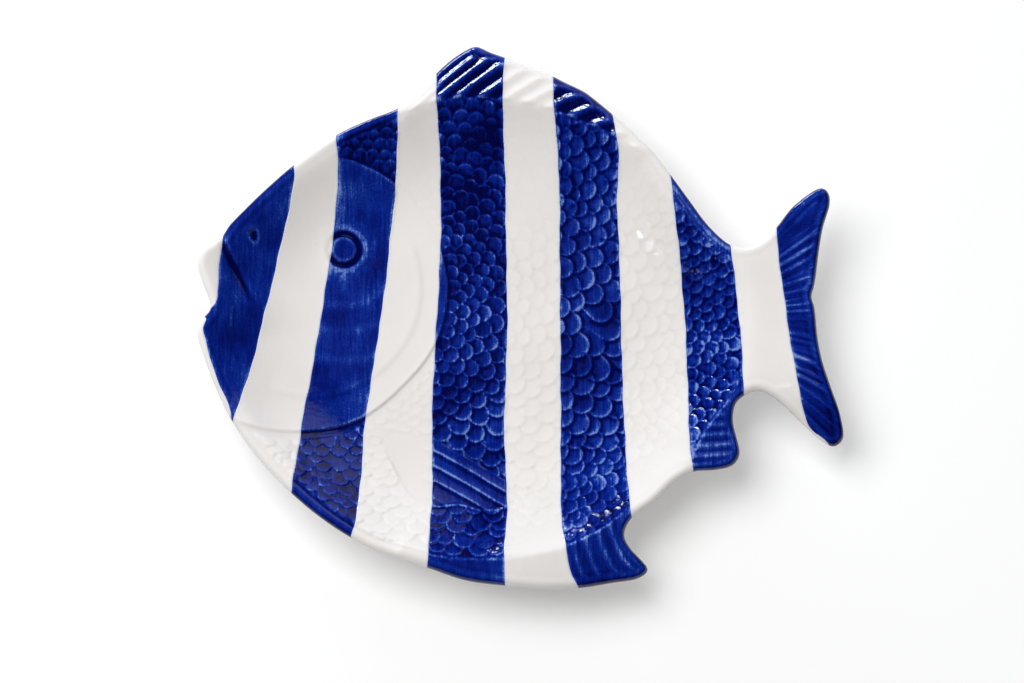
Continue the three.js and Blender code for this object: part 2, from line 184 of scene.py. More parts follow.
def from_edge(points):
    """Distance of each point from the edge, positive on the plate, and the direction inward there."""
    nearest = nearest_in(edge_tree, points)
    distance = np.full(len(points), np.inf)
    signed = np.zeros(len(points))
    for offset in (-1, 0):
        start = outline[(nearest + offset) % edge_count]
        span = outline[(nearest + offset + 1) % edge_count] - start
        share = ((points - start) * span).sum(1) / (span**2).sum(1)
        away = points - start - np.clip(share, 0, 1)[:, None] * span
        reach = np.linalg.norm(away, axis=1)
        closer = reach < distance
        distance[closer] = reach[closer]
        side = np.sign(span[:, 0] * away[:, 1] - span[:, 1] * away[:, 0])
        signed[closer] = (side * reach)[closer]
    return signed, edge_inward[nearest]


# Rim of the dish, as its reach from the middle of the well at each bearing
BEARINGS = np.radians(np.arange(-180, 180, 0.25))
RIM_EASING = 60
rim_line = []
rim_drop = []
parts = list(PLAN.values())
for part, following in zip(parts, parts[1:] + parts[:1]):
    if "root" in part:
        line = through(part["root"], 1)
    else:
        side = through(part["edge"] + following["edge"][:1], 1)
        line = side + inward(side) * (EDGE_ROUNDING + CREST_WIDTH)
    rim_line.append(line)
    rim_drop.append(np.full(len(line), part.get("drop", 0.0)))
from_well = np.vstack(rim_line) - WELL_CENTRE
rim_bearing = np.arctan2(from_well[:, 1], from_well[:, 0])
turn = 2 * np.pi
rim_reach = np.interp(BEARINGS, rim_bearing, np.linalg.norm(from_well, axis=1), period=turn)
rim_reach = evened(rim_reach, RIM_EASING)
rim_fall = evened(np.interp(BEARINGS, rim_bearing, np.concatenate(rim_drop), period=turn), RIM_EASING)


def around_well(points):
    """Reach and bearing from the middle of the well, and the reach of the rim at that bearing."""
    across, up = (points - WELL_CENTRE).T
    bearing = np.arctan2(up, across)
    return np.hypot(across, up), bearing, np.interp(bearing, BEARINGS, rim_reach, period=turn)


def oval_reach(bearing, length, width):
    return 1 / np.hypot(2 * np.cos(bearing) / length, 2 * np.sin(bearing) / width)


def soft_lower(a, b, softness):
    """The lower of two heights, with the corner between them rounded off."""
    return -softness * np.logaddexp(-a / softness, -b / softness)


def face_form(points):
    """Height of the upper surface, before its edge is rounded."""
    reach, bearing, rim = around_well(points)
    floor = oval_reach(bearing, FLOOR_LENGTH, FLOOR_WIDTH)
    share = np.minimum((rim - reach) / (rim - floor), 1)
    wall = FLOOR_HEIGHT + (CREST_HEIGHT - FLOOR_HEIGHT) * (1 - share) ** WALL_BOWING
    fall = np.interp(bearing, BEARINGS, rim_fall, period=turn)
    fin = CREST_HEIGHT - fall * np.maximum(reach - rim, 0)
    softness = CREST_SOFTNESS + (FIN_SOFTNESS - CREST_SOFTNESS) * np.minimum(fall / FIN_FALL, 1)
    return soft_lower(wall, fin, softness)


def back_form(points):
    """Height of the underside, before its edge is rounded."""
    reach, bearing, rim = around_well(points)
    base = oval_reach(bearing, BASE_LENGTH, BASE_WIDTH)
    share = np.minimum((rim - reach) / (rim - base), 1)
    under_rim = face_form(points) - EDGE_THICKNESS
    wall = FOOT_HEIGHT + (CREST_HEIGHT - EDGE_THICKNESS - FOOT_HEIGHT) * (1 - share) ** BASE_BOWING
    return soft_lower(wall, under_rim, BASE_SOFTNESS)


def rounding(distance, start):
    """Rise of the rounded edge, from 0 at its outermost line to 1 where the rounding ends."""
    lack = np.clip((EDGE_ROUNDING - distance) / (EDGE_ROUNDING - start), 0, 1)
    return np.sqrt(1 - lack**2)


HALF_EDGE = EDGE_THICKNESS / 2


def face_height(points, distance):
    return face_form(points) - HALF_EDGE * (1 - rounding(distance, 0))


def back_height(points, distance):
    rise = rounding(distance, 0)
    return back_form(points) * rise + (face_form(points) - HALF_EDGE) * (1 - rise)


def clay_face(points, distance):
    rise = (HALF_EDGE - CLAY_EDGE - CLAY_DEPTH) * rounding(distance, CLAY_INSET)
    return face_form(points) - HALF_EDGE + CLAY_EDGE + rise


def clay_back(points, distance):
    rise = rounding(distance, CLAY_INSET)
    edge = face_form(points) - HALF_EDGE - CLAY_EDGE
    return (back_form(points) + CLAY_LIFT) * rise + edge * (1 - rise)


def lattice(spacing):
    """Points of an even triangular lattice over the plate's box."""
    low, high = outline.min(0), outline.max(0)
    rows = np.arange(low[1], high[1], spacing * math.sqrt(0.75))
    places = np.arange(low[0], high[0], spacing)
    shifted = places + (np.arange(len(rows)) % 2)[:, None] * spacing / 2
    return np.column_stack([shifted.ravel(), np.repeat(rows, len(places))])


RING_SLACK = 0.02


def inset_rings(insets):
    """Rings of points inside the edge, leaving out those that another stretch of it lies closer to."""
    rings = []
    for inset in insets:
        ring = outline + edge_inward * inset
        distance, _ = from_edge(ring)
        rings.append(ring[distance > inset - RING_SLACK])
    return np.vstack(rings)


def loop_edges(first, count):
    """Pairs of neighbours round a loop of points that starts at a number."""
    return [(first + place, first + (place + 1) % count) for place in range(count)]


def triangulate(points, edges, keep):
    """Triangles on all points, with the edges kept, where keep holds at their middles."""
    made = delaunay_2d_cdt([Vector(point) for point in points], edges, [], 0, 1e-6)
    places = np.array([tuple(place) for place in made[0]])
    faces = np.array(made[2])
    a, b, c = (places[faces[:, corner]] for corner in range(3))
    across = (b[:, 0] - a[:, 0]) * (c[:, 1] - a[:, 1]) - (b[:, 1] - a[:, 1]) * (c[:, 0] - a[:, 0])
    faces[across < 0] = faces[across < 0][:, ::-1]
    faces = faces[keep((a + b + c) / 3) & (np.abs(across) > 1e-9)]
    used, faces = np.unique(faces, return_inverse=True)
    return places[used], faces.reshape(-1, 3)


def sides_of(faces):
    return faces[:, [0, 1, 1, 2, 2, 0]].reshape(-1, 2)


def border_edges(faces):
    """Edges that only one triangle has, in that triangle's direction."""
    edges = sides_of(faces)
    _, index, count = np.unique(np.sort(edges, axis=1), axis=0, return_index=True, return_counts=True)
    return edges[index[count == 1]]


def placed(name, data):
    """An object in the scene that shows a mesh, a lamp or a camera."""
    thing = bpy.data.objects.new(name, data)
    bpy.context.scene.collection.objects.link(thing)
    return thing


def solid_between(name, upper, upper_faces, lower, lower_faces, below):
    """Closed mesh between two sheets. below numbers the lower point under each border point of the upper."""
    near, far = border_edges(upper_faces).T
    first = len(upper)
    walls = np.vstack([
        np.column_stack([far, near, below[near] + first]),
        np.column_stack([far, below[near] + first, below[far] + first]),
    ])
    faces = np.vstack([upper_faces, lower_faces[:, ::-1] + first, walls])
    smooth = np.arange(len(faces)) < len(upper_faces) + len(lower_faces)
    corners = np.vstack([upper, lower]) - FRAME_ORIGIN
    mesh = bpy.data.meshes.new(name)
    mesh.vertices.add(len(corners))
    mesh.vertices.foreach_set("co", (corners * MILLIMETRE).ravel())
    mesh.loops.add(3 * len(faces))
    mesh.loops.foreach_set("vertex_index", faces.ravel().astype(np.int32))
    mesh.polygons.add(len(faces))
    mesh.polygons.foreach_set("loop_start", np.arange(0, 3 * len(faces), 3, dtype=np.int32))
    mesh.polygons.foreach_set("use_smooth", smooth)
    mesh.update(calc_edges=True)
    mesh.validate()
    return placed(name, mesh)


def shell(name, faces, upper, lower):
    """Closed mesh between two sheets that share their triangles."""
    return solid_between(name, upper, faces, lower, faces, np.arange(len(upper)))


def standing(points, heights):
    return np.column_stack([points, heights])


def lay(tree, kind, inputs=None, **settings):
    """Adds a node with its settings, and sets or links its inputs."""
    node = tree.nodes.new(kind)
    for setting, value in settings.items():
        setattr(node, setting, value)
    for socket, value in (inputs or {}).items():
        if isinstance(value, bpy.types.NodeSocket):
            tree.links.new(value, node.inputs[socket])
        else:
            node.inputs[socket].default_value = value
    return node


def new_finish(name):
    """A material with its node tree, its surface shader and its object coordinates."""
    material = bpy.data.materials.new(name)
    material.use_nodes = True
    tree = material.node_tree
    shader = tree.nodes["Principled BSDF"]
    place = lay(tree, "ShaderNodeTexCoord").outputs["Object"]
    return material, tree, shader, place


def noise(tree, place, scale, detail):
    """Soft random values over a piece."""
    return lay(tree, "ShaderNodeTexNoise", {"Vector": place, "Scale": scale, "Detail": detail}).outputs["Fac"]


def toned(tree, value, stops):
    """A colour that follows a value through stops, each a position and a colour."""
    node = lay(tree, "ShaderNodeValToRGB", {"Fac": value})
    ramp = node.color_ramp.elements
    for element, (position, colour) in zip(ramp, (stops[0], stops[-1])):
        element.position = position
        element.color = colour
    for position, colour in stops[1:-1]:
        ramp.new(position).color = colour
    return node.outputs["Color"]


def roughen(tree, shader, height, strength, distance):
    """Gives a surface a fine unevenness."""
    bump = lay(tree, "ShaderNodeBump", {"Height": height, "Strength": strength, "Distance": distance})
    tree.links.new(bump.outputs["Normal"], shader.inputs["Normal"])


def biscuit_finish():
    """Bare fired clay: pale buff, dull and slightly gritty."""
    material, tree, shader, place = new_finish("biscuit")
    buff = ((0.0, (0.60, 0.49, 0.37, 1)), (1.0, (0.78, 0.68, 0.56, 1)))
    tree.links.new(toned(tree, noise(tree, place, 90.0, 4.0), buff), shader.inputs["Base Color"])
    roughen(tree, shader, noise(tree, place, 2600.0, 2.0), 0.35, 0.0002)
    shader.inputs["Roughness"].default_value = 0.88
    return material


biscuit = biscuit_finish()


def dress(piece, material, node):
    """Gives a piece its finish and its place in the shared frame."""
    piece.data.materials.append(material)
    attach(piece, "root")
    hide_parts(node)


def inner_points(spacing, clear):
    """Lattice points at least a distance inside the edge."""
    points = lattice(spacing)
    distance, _ = from_edge(points)
    return points[distance > clear]


CLAY_RINGS = (0.9, 1.4, 2.4)
CLAY_SPACING = 2.4
clay_loop = outline + edge_inward * CLAY_INSET
clay_inner = inner_points(CLAY_SPACING, EDGE_ROUNDING + CLAY_SPACING / 2)
clay_points = np.vstack([clay_loop, inset_rings(CLAY_RINGS), clay_inner])
clay_plan, clay_faces = triangulate(
    clay_points, loop_edges(0, edge_count), lambda middles: from_edge(middles)[0] > 0.98 * CLAY_INSET)
clay_distance, _ = from_edge(clay_plan)
clay_body = shell(
    "clay_body", clay_faces, standing(clay_plan, clay_face(clay_plan, clay_distance)),
    standing(clay_plan, clay_back(clay_plan, clay_distance)))
dress(clay_body, biscuit, "biscuit_body")

# Foot ring
# A low oval ring of the same clay, joined under the dish before firing. It is left bare, so that the plate
# doesn't stick to the kiln shelf, and its lower edges are rubbed round.
FOOT_SETBACK = 2.0  # from the edge of the flat underneath
FOOT_WIDTH = 7.0
FOOT_TOP = 5.1  # inside the clay body
FOOT_FLANK = (  # inset and height
    (0, FOOT_TOP), (0.35, 3.0), (0.75, 1.2), (1.05, 0.45), (1.5, 0.1), (2.1, 0.0))
FOOT_INNER = FOOT_SETBACK + FOOT_WIDTH
FOOT_SECTION = (
    *((FOOT_SETBACK + inset, height) for inset, height in FOOT_FLANK),
    *((FOOT_INNER - inset, height) for inset, height in reversed(FOOT_FLANK)),
    (FOOT_INNER - 2, FOOT_TOP), (FOOT_SETBACK + 2, FOOT_TOP),
)
FOOT_SIDES = 240


def oval_ring(inset, height):
    bearing = np.linspace(-np.pi, np.pi, FOOT_SIDES, endpoint=False)
    reach = oval_reach(bearing, BASE_LENGTH - 2 * inset, BASE_WIDTH - 2 * inset)
    across = WELL_CENTRE[0] + reach * np.cos(bearing)
    up = WELL_CENTRE[1] + reach * np.sin(bearing)
    return np.column_stack([across, up, np.full(FOOT_SIDES, height)])


foot_corners = np.vstack([oval_ring(*stop) for stop in FOOT_SECTION]) - FRAME_ORIGIN
foot_faces = []
for stop in range(len(FOOT_SECTION)):
    near = stop * FOOT_SIDES
    far = (stop + 1) % len(FOOT_SECTION) * FOOT_SIDES
    for place in range(FOOT_SIDES):
        beside = (place + 1) % FOOT_SIDES
        foot_faces.append((near + place, far + place, far + beside, near + beside))
foot_mesh = bpy.data.meshes.new("foot_ring_biscuit")
foot_mesh.from_pydata(foot_corners * MILLIMETRE, [], foot_faces)
foot_mesh.polygons.foreach_set("use_smooth", np.ones(len(foot_faces), bool))
foot_mesh.update()
dress(placed("foot_ring_biscuit", foot_mesh), biscuit, "foot_ring")

# White glaze on the back
# A coat of white glaze covers the underside from the outermost edge to the foot ring, and the flat inside the
# ring. It is wiped off the foot and for a millimetre beside it.
GLAZE_WIPE = 1.0
EDGE_RINGS = (0.08, 0.32, 0.7, 1.2, 1.78, 2.4)  # insets of the points that round off the edge
AT_EDGE = 0.004  # a point nearer than this lies on the edge
BACK_SPACING = 1.8
BACK_CLEAR = 0.8  # from the rounded edge and from the wiped strip
WELL_SPACING = 2.5
WELL_ROUNDING = 1.5
GLAZE_IOR = 1.5


def reckon(tree, operation, *values):
    """Values added, multiplied or both."""
    return lay(tree, "ShaderNodeMath", dict(enumerate(values)), operation=operation).outputs[0]


def carried(tree, title):
    """A value that the points of a piece carry."""
    return lay(tree, "ShaderNodeAttribute", attribute_name=title).outputs["Fac"]


def mapped(tree, value, low, high, start=0.0, end=1.0):
    """A value from start to end turned into one from low to high."""
    return lay(tree, "ShaderNodeMapRange", {
        "Value": value, "From Min": start, "From Max": end, "To Min": low, "To Max": high}).outputs["Result"]


def white_finish():
    """Glossy white glaze, faintly warm, a shade deeper where it has gathered, darker where painted shade and
    paler where painted highlights lie in its depth values, and stained beside the blue.
    """
    material, tree, shader, place = new_finish("white_glaze")
    cloud = noise(tree, place, 38.0, 3.0)
    depth = reckon(tree, "MULTIPLY", reckon(tree, "ADD", cloud, carried(tree, "glaze_depth_and_painted_light")), 0.5)
    tone = toned(tree, depth, ((0.25, (0.90, 0.865, 0.84, 1)), (0.8, (0.77, 0.745, 0.72, 1))))
    mixed = lay(tree, "ShaderNodeMix", {
        "Factor": carried(tree, "stain"), "A": tone, "B": (0.50, 0.58, 0.90, 1)}, data_type="RGBA")
    tree.links.new(mixed.outputs["Result"], shader.inputs["Base Color"])
    tree.links.new(mapped(tree, cloud, 0.03, 0.09), shader.inputs["Roughness"])
    roughen(tree, shader, noise(tree, place, 380.0, 2.0), 0.3, 0.0002)
    shader.inputs["IOR"].default_value = GLAZE_IOR
    return material


white_glaze = white_finish()


def beyond_oval(points, inset):
    reach, bearing, _ = around_well(points)
    return reach - oval_reach(bearing, BASE_LENGTH - 2 * inset, BASE_WIDTH - 2 * inset)


wipe_outside = FOOT_SETBACK - GLAZE_WIPE
wipe_loop = oval_ring(wipe_outside, 0)[:, :2]
back_inner = inner_points(BACK_SPACING, EDGE_ROUNDING + BACK_CLEAR)
back_inner = back_inner[beyond_oval(back_inner, wipe_outside) > BACK_CLEAR]
back_points = np.vstack([outline, wipe_loop, inset_rings(EDGE_RINGS), back_inner])
back_edges = loop_edges(0, edge_count) + loop_edges(edge_count, FOOT_SIDES)


def on_back(middles):
    return (from_edge(middles)[0] > 0) & (beyond_oval(middles, wipe_outside) > -0.01)


back_plan, back_faces = triangulate(back_points, back_edges, on_back)
back_distance, back_inward = from_edge(back_plan)
back_distance[back_distance < AT_EDGE] = 0


def pushed_in(points, distance, way):
    """Points near the edge moved inward, so that the coat keeps its thickness round the edge."""
    push = np.clip(CLAY_INSET * (1 - distance / EDGE_ROUNDING), 0, None)
    return points + way * push[:, None], distance + push


under_plan, under_distance = pushed_in(back_plan, back_distance, back_inward)
back_coat = shell(
    "white_glaze_back", back_faces, standing(under_plan, clay_back(under_plan, under_distance) - FILM),
    standing(back_plan, back_height(back_plan, back_distance)))
dress(back_coat, white_glaze, "glaze_white_back")

wipe_inside = FOOT_INNER + GLAZE_WIPE
well_loop = oval_ring(wipe_inside, 0)[:, :2]
well_inner = inner_points(WELL_SPACING, EDGE_ROUNDING)
well_inner = well_inner[beyond_oval(well_inner, wipe_inside) < -1]
well_plan, well_faces = triangulate(
    np.vstack([well_loop, well_inner]), loop_edges(0, FOOT_SIDES),
    lambda middles: beyond_oval(middles, wipe_inside) < 0)
well_rise = np.sqrt(np.clip(-beyond_oval(well_plan, wipe_inside) / WELL_ROUNDING, 0, 1))
well_roof = np.full(len(well_plan), FOOT_HEIGHT + CLAY_LIFT - FILM)
foot_well_coat = shell(
    "white_glaze_foot_well", well_faces, standing(well_plan, well_roof),
    standing(well_plan, FOOT_HEIGHT + (CLAY_LIFT - 2 * FILM) * (1 - well_rise)))
dress(foot_well_coat, white_glaze, "glaze_white_foot_well")

# Borders of the bands
# The face is painted in bands across the fish with a wide brush, blue beside white, so each border wanders a
# little. Each line starts and ends beyond the edge of the plate.
BORDERS = {
    "lip": [(-110, 45), (-110.7, 29), (-111.6, 22), (-112.4, 10.3), (-112.8, 6), (-114.8, 3.1),
            (-121, 1.5)],
    "jaw": [(-124, 1), (-117, -1.1), (-117.8, -5.4), (-116.7, -10), (-115.2, -15.7), (-111.5, -27.2),
            (-107.9, -35), (-107.2, -39), (-112, -50)],
    "snout_rear": [(-84.5, 75), (-84.3, 58), (-84, 54), (-85.1, 47), (-87.7, 35.5), (-90.5, 23.5),
                   (-93.9, 9), (-97.4, -6.5), (-101.3, -23), (-105.6, -37), (-110, -51)],
    "eye_front": [(-69, 85), (-68.4, 68), (-67.9, 59), (-68.5, 45), (-70.3, 29), (-72.5, 14),
                  (-77.3, -17), (-80.1, -33), (-82.3, -49.5), (-84.9, -68), (-88, -85)],
    "eye_rear": [(-45.5, 95), (-45.7, 75), (-46.3, 55), (-48.1, 37), (-50.9, 10), (-53.1, -5),
                 (-55.5, -22.5), (-57.6, -36), (-58.9, -56), (-60.9, -77.5), (-62.8, -84.5), (-67, -100)],
    "shoulder_front": [(-31, 110), (-31.2, 82.5), (-30.5, 76), (-29.5, 41), (-30.3, 14), (-31.6, -9),
                       (-32.7, -36), (-32.5, -59.5), (-33.1, -76), (-34.5, -96.5), (-35.5, -115)],
    "shoulder_rear": [(-5, 115), (-6.3, 88.5), (-6.5, 81), (-5.6, 58), (-5.2, 29.5), (-4.8, -1.5),
                      (-5.6, -28), (-5.9, -43.5), (-4.8, -69.5), (-5.8, -89), (-5.4, -115)],
    "flank_front": [(12, 110), (12.8, 79), (14.5, 58.5), (14.9, 25.5), (15.2, -43.5), (15.2, -68),
                    (16, -83), (17.1, -89), (18.6, -97), (21.9, -103.5), (28, -115)],
    "flank_rear": [(33, 95), (34.9, 75.5), (36.6, 64), (36.2, 43.5), (37.1, 25), (38.1, -20.5),
                   (39, -44.5), (40.5, -70), (41.8, -78), (52, -90), (54, -115)],
    "hind_front": [(55, 70), (56.1, 53), (57.6, 41), (59.6, 23.5), (61.6, -2.5), (62.5, -30),
                   (63.2, -53), (64.3, -60), (66, -75)],
    "hind_rear": [(77.5, 42), (78.4, 26.5), (80.2, 11), (82.2, -11), (83.2, -31), (84.5, -50)],
    "tail_front": [(94, 50), (95.3, 33.5), (96.2, 23.5), (98.6, 4), (101.6, -17), (105.1, -35),
                   (106.6, -40.5), (108.5, -43), (112.9, -46.3), (116, -49.5), (121, -56)],
}
BRUSH_STEP = 0.35
BRUSH_WANDER = 0.12
BRUSH_WAVES = ((1.0, 4.1, 2.3), (0.7, 1.7, 1.1))  # share, length per radian, and shift from border to border


def brushed(points, number):
    """A border with the small waver of a hand-drawn stroke."""
    line = through(points, BRUSH_STEP)
    for share, length, shift in BRUSH_WAVES:
        line[:, 0] += BRUSH_WANDER * share * np.sin(line[:, 1] / length + shift * number)
    return line


borders = {name: brushed(points, number) for number, (name, points) in enumerate(BORDERS.items())}


def ahead_of(name, points):
    """Distance of points towards the tail from a border."""
    line = borders[name][::-1]
    return points[:, 0] - np.interp(points[:, 1], line[:, 1], line[:, 0])


def beside_border(points):
    """Distance of points from the nearest border."""
    return np.min([np.abs(ahead_of(name, points)) for name in borders], axis=0)


BANDS = (  # from the snout to the tail, each with the border behind it
    ("blue_glaze_snout", "snout_rear"), ("white_glaze_cheek", "eye_front"), ("blue_glaze_eye", "eye_rear"),
    ("white_glaze_gill", "shoulder_front"), ("blue_glaze_shoulder", "shoulder_rear"),
    ("white_glaze_middle", "flank_front"), ("blue_glaze_flank", "flank_rear"),
    ("white_glaze_rear", "hind_front"), ("blue_glaze_hind", "hind_rear"),
    ("white_glaze_tail_root", "tail_front"), ("blue_glaze_tail", None),
    ("white_glaze_lip", None), ("white_glaze_jaw", None),
)
SNOUT, LIP, JAW = 0, 11, 12
BAND_NAMES = [name for name, _ in BANDS]
IS_BLUE = np.array([name.startswith("blue") for name in BAND_NAMES])


def band_of(points):
    """Number of the band that each point lies in."""
    band = np.zeros(len(points), int)
    for _, rear in BANDS:
        if rear:
            band += ahead_of(rear, points) > 0
    band[(band == SNOUT) & (ahead_of("lip", points) < 0)] = LIP
    band[(band == SNOUT) & (ahead_of("jaw", points) < 0)] = JAW
    return band


# Moulded face
# The mould gives the face its fish: scales in rows behind the gill cover, the gill cover and the cheek plate,
# the eye, the nostril and the mouth, a side fin laid back along the body, and rays on the fins and the tail.
BLUE_SPACING = 0.34
WHITE_SPACING = 0.48
RING_CLEAR = 0.15  # from a border to the nearest point of the edge rings
EDGE_CLEAR = 0.7  # of the spacing, from the rounded edge
BORDER_CLEAR = 0.6  # of the spacing, from a border


def face_points(spacing, blue):
    points = inner_points(spacing, EDGE_ROUNDING + spacing * EDGE_CLEAR)
    clear = beside_border(points) > spacing * BORDER_CLEAR
    return points[clear & (IS_BLUE[band_of(points)] == blue)]


border_edge_list = []
first = edge_count
for line in borders.values():
    border_edge_list += [(first + place, first + place + 1) for place in range(len(line) - 1)]
    first += len(line)
edge_points = inset_rings(EDGE_RINGS)
edge_points = edge_points[beside_border(edge_points) > RING_CLEAR]
all_points = np.vstack([
    outline, *borders.values(), edge_points,
    face_points(BLUE_SPACING, True), face_points(WHITE_SPACING, False)])
face_plan, face_faces = triangulate(
    all_points, loop_edges(0, edge_count) + border_edge_list, lambda middles: from_edge(middles)[0] > 0)
face_distance, face_inward = from_edge(face_plan)
face_distance[face_distance < AT_EDGE] = 0
x, y = face_plan.T
blue_here = IS_BLUE[band_of(face_plan)]
past_eye_front = ahead_of("eye_front", face_plan)
past_tail_front = ahead_of("tail_front", face_plan)
reach_in_well, _, rim_here = around_well(face_plan)
inside_rim = rim_here - reach_in_well


def ease(value, start, end):
    """0 before start, 1 after end and a smooth rise between them."""
    share = np.clip((value - start) / (end - start), 0, 1)
    return share * share * (3 - 2 * share)


def shown(white_share):
    """Share of the relief that shows on the glaze: all of it on the blue bands, less on the thicker white."""
    return np.where(blue_here, 1.0, white_share)


# Gill cover and cheek plate: each stands up at its rear edge and fades towards the snout
GILL_CENTRE = (-82.5, 11.5)
GILL_LIFT = 1.15
GILL_FADE = 15.0
GILL_STEP = 0.45  # half the width of the step down at its edge
GILL_EDGE = [  # bearing in degrees, and reach
    (-130, 57.5), (-110, 56.5), (-88, 53.8), (-63, 53.0), (-43, 52.4), (-20, 54.4), (0, 55.4), (25, 55.6),
    (49, 55.2), (70, 52.4), (84, 50),
]
GILL_ENDS = (-122.0, 76.0)
CHEEK_CENTRE = (-79.0, 14.0)
CHEEK_LIFT = 0.55
CHEEK_FADE = 9.0
CHEEK_STEP = 1.5
CHEEK_EDGE = [(-180, 42), (180, 42)]
CHEEK_ENDS = (-112.0, 28.0)
END_FADES = (14, 10)  # degrees over which an edge fades at its two ends


def around(centre, edge, points):
    """How far each point lies outside a drawn arc, its bearing in degrees and the direction outward."""
    step = points - np.array(centre)
    reach = np.linalg.norm(step, axis=1)
    bearing = np.degrees(np.arctan2(step[:, 1], step[:, 0]))
    drawn = through(edge, 1)
    return reach - np.interp(bearing, drawn[:, 0], drawn[:, 1]), bearing, step / reach[:, None]


def plate_edge(centre, edge, lift, fade, ends, step):
    """Height of a plate whose rear edge is an arc, the distance inside that arc and the bearing."""
    outside, bearing, _ = around(centre, edge, face_plan)
    start, end = ends
    share = ease(bearing, start, start + END_FADES[0]) * (1 - ease(bearing, end - END_FADES[1], end))
    height = lift * np.exp(-np.maximum(-outside, 0) / fade) * ease(-outside, -step, step) * share
    return height, -outside, bearing


gill, inside_gill, head_angle = plate_edge(
    GILL_CENTRE, GILL_EDGE, GILL_LIFT, GILL_FADE, GILL_ENDS, GILL_STEP)
cheek, _, _ = plate_edge(CHEEK_CENTRE, CHEEK_EDGE, CHEEK_LIFT, CHEEK_FADE, CHEEK_ENDS, CHEEK_STEP)

# Scales: each lies in the gap between two of the row before it, as wide and as turned as its place asks
SCALE_GUIDES = np.array([  # place, heading of the free edge in degrees, width, and row spacing in widths
    (-61, 64, 92, 4.6, 0.66), (-39, 66, 84, 4.9, 0.74), (-30, 28, 25, 4.2, 0.72),
    (-28, 2, -4, 4.2, 0.72), (-38, -21, -45, 4.5, 0.7), (-58, -38, -76, 5.2, 0.62),
    (-93, -47, -95, 5.0, 0.62), (-69, -57, -90, 6.0, 0.62), (-45, -72, -86, 6.4, 0.62),
    (-19, -82, -90, 7.0, 0.58), (-19, 76, 76, 5.6, 0.86), (-19, 56, 76, 5.6, 0.86),
    (-17, 37, 62, 5.6, 0.84), (-15, 20, 28, 5.8, 0.74), (-13, 2, -3, 6.2, 0.68),
    (-14, -11, -28, 6.5, 0.66), (-18, -26, -55, 6.8, 0.7), (-19, -40, -68, 7.2, 0.76),
    (4, 69, 30, 5.6, 0.8), (4, 48, 22, 6.0, 0.76), (4, 25, 0, 6.8, 0.7),
    (4, 2, -22, 7.4, 0.66), (4, -20, -48, 7.6, 0.66), (4, -48, -68, 7.4, 0.66),
    (4, -76, -75, 6.4, 0.62), (26, 71, -26, 5.8, 0.7), (26, 51, -26, 6.6, 0.68),
    (26, 25, -24, 7.8, 0.66), (26, 2, -33, 8.6, 0.64), (26, -20, -48, 8.8, 0.62),
    (26, -40, -52, 8.0, 0.62), (26, -58, -22, 6.6, 0.64), (28, -73, -10, 5.6, 0.66),
    (48, 46, -32, 6.4, 0.7), (48, 14, -32, 7.5, 0.68), (48, -17, -34, 7.2, 0.68),
    (50, -41, -8, 6.2, 0.68), (64, 33, -62, 4.6, 0.8), (71, 17, -78, 5.0, 0.8),
    (74, 0, -58, 5.0, 0.8), (71, -11, -8, 5.0, 0.8), (69, -27, 22, 5.0, 0.8),
])
GUIDE_REACH = 10.0
FIRST_ROW = 2.2  # behind the gill cover
FIRST_ROW_BELOW = 2.0  # further behind it under the head
PAST_RIM = 3.0
PACKED_ROW = math.sqrt(0.75)  # row spacing of round things packed close
CROWDED = 0.86  # closer than this, with close neighbours at 1, two scales don't both fit
SQUEEZED = 0.74  # and after they have settled
ROOMY = 0.9  # further than this from any scale, there is room for one more
ROOM_SPACING = 0.8  # of the places tried
SETTLING = 40
SETTLING_PACE = 0.25
PUSH_REACH = 1.12  # nearer than this, two scales push each other apart
PUSH_LIMIT = 0.5
TURN_REACH = 1.5  # nearer than this, each turns about the other to the nearest of six even places
TURN_LIMIT = 0.4
TURN_SHARE = 0.25
FAR_OFF = 99.0
SCALE_RISE = 0.13  # of its width
SCALE_NOSE = 0.56  # from its middle to the tip of the free edge, in widths
SCALE_SIDE = 0.55  # and to its side
SCALE_TAIL = 1.0  # and back to where it comes out from under the row before
SCALE_CROWN = 0.12  # how far its sides fall, as a share of its height
SCALE_STEP = 0.55  # width of the step down at the free edge
SCALE_REACH = 1.3  # of the points looked at round it, in widths
TURN_SPREAD = 0.13  # radians
PLACE_SPREAD = 0.05  # of its width
WIDTH_SPREAD = (0.95, 1.14)
TONE_SPREAD = 0.1
random = np.random.default_rng(5)
guide_turns = np.radians(SCALE_GUIDES[:, 2])
guide_ways = np.column_stack([np.cos(guide_turns), np.sin(guide_turns)])


def guided(points):
    """Heading, width and row spacing of a scale at each point, eased between the guides near it."""
    gaps = ((points[:, None] - SCALE_GUIDES[None, :, :2]) ** 2).sum(2)
    weight = np.exp(-(gaps - gaps.min(1)[:, None]) / (2 * GUIDE_REACH**2))
    weight /= weight.sum(1)[:, None]
    way = weight @ guide_ways
    width = weight @ SCALE_GUIDES[:, 3]
    return way / np.linalg.norm(way, axis=1)[:, None], width, width * (weight @ SCALE_GUIDES[:, 4])


def apart(step, way, width, spacing):
    """Steps between scales, along and across them, in units that put close neighbours 1 apart."""
    along = (step * way).sum(-1) / spacing * PACKED_ROW
    return along, (step[..., 1] * way[..., 0] - step[..., 0] * way[..., 1]) / width


def short_of_body(points):
    """How far points lie in front of the first row, the way out of it, how far past the rim, and bearings."""
    outside, bearing, out = around(GILL_CENTRE, GILL_EDGE, points)
    reach, _, rim = around_well(points)
    first_row = FIRST_ROW + FIRST_ROW_BELOW * ease(-bearing, 45, 75)
    return first_row - outside, out, reach - rim - PAST_RIM, bearing


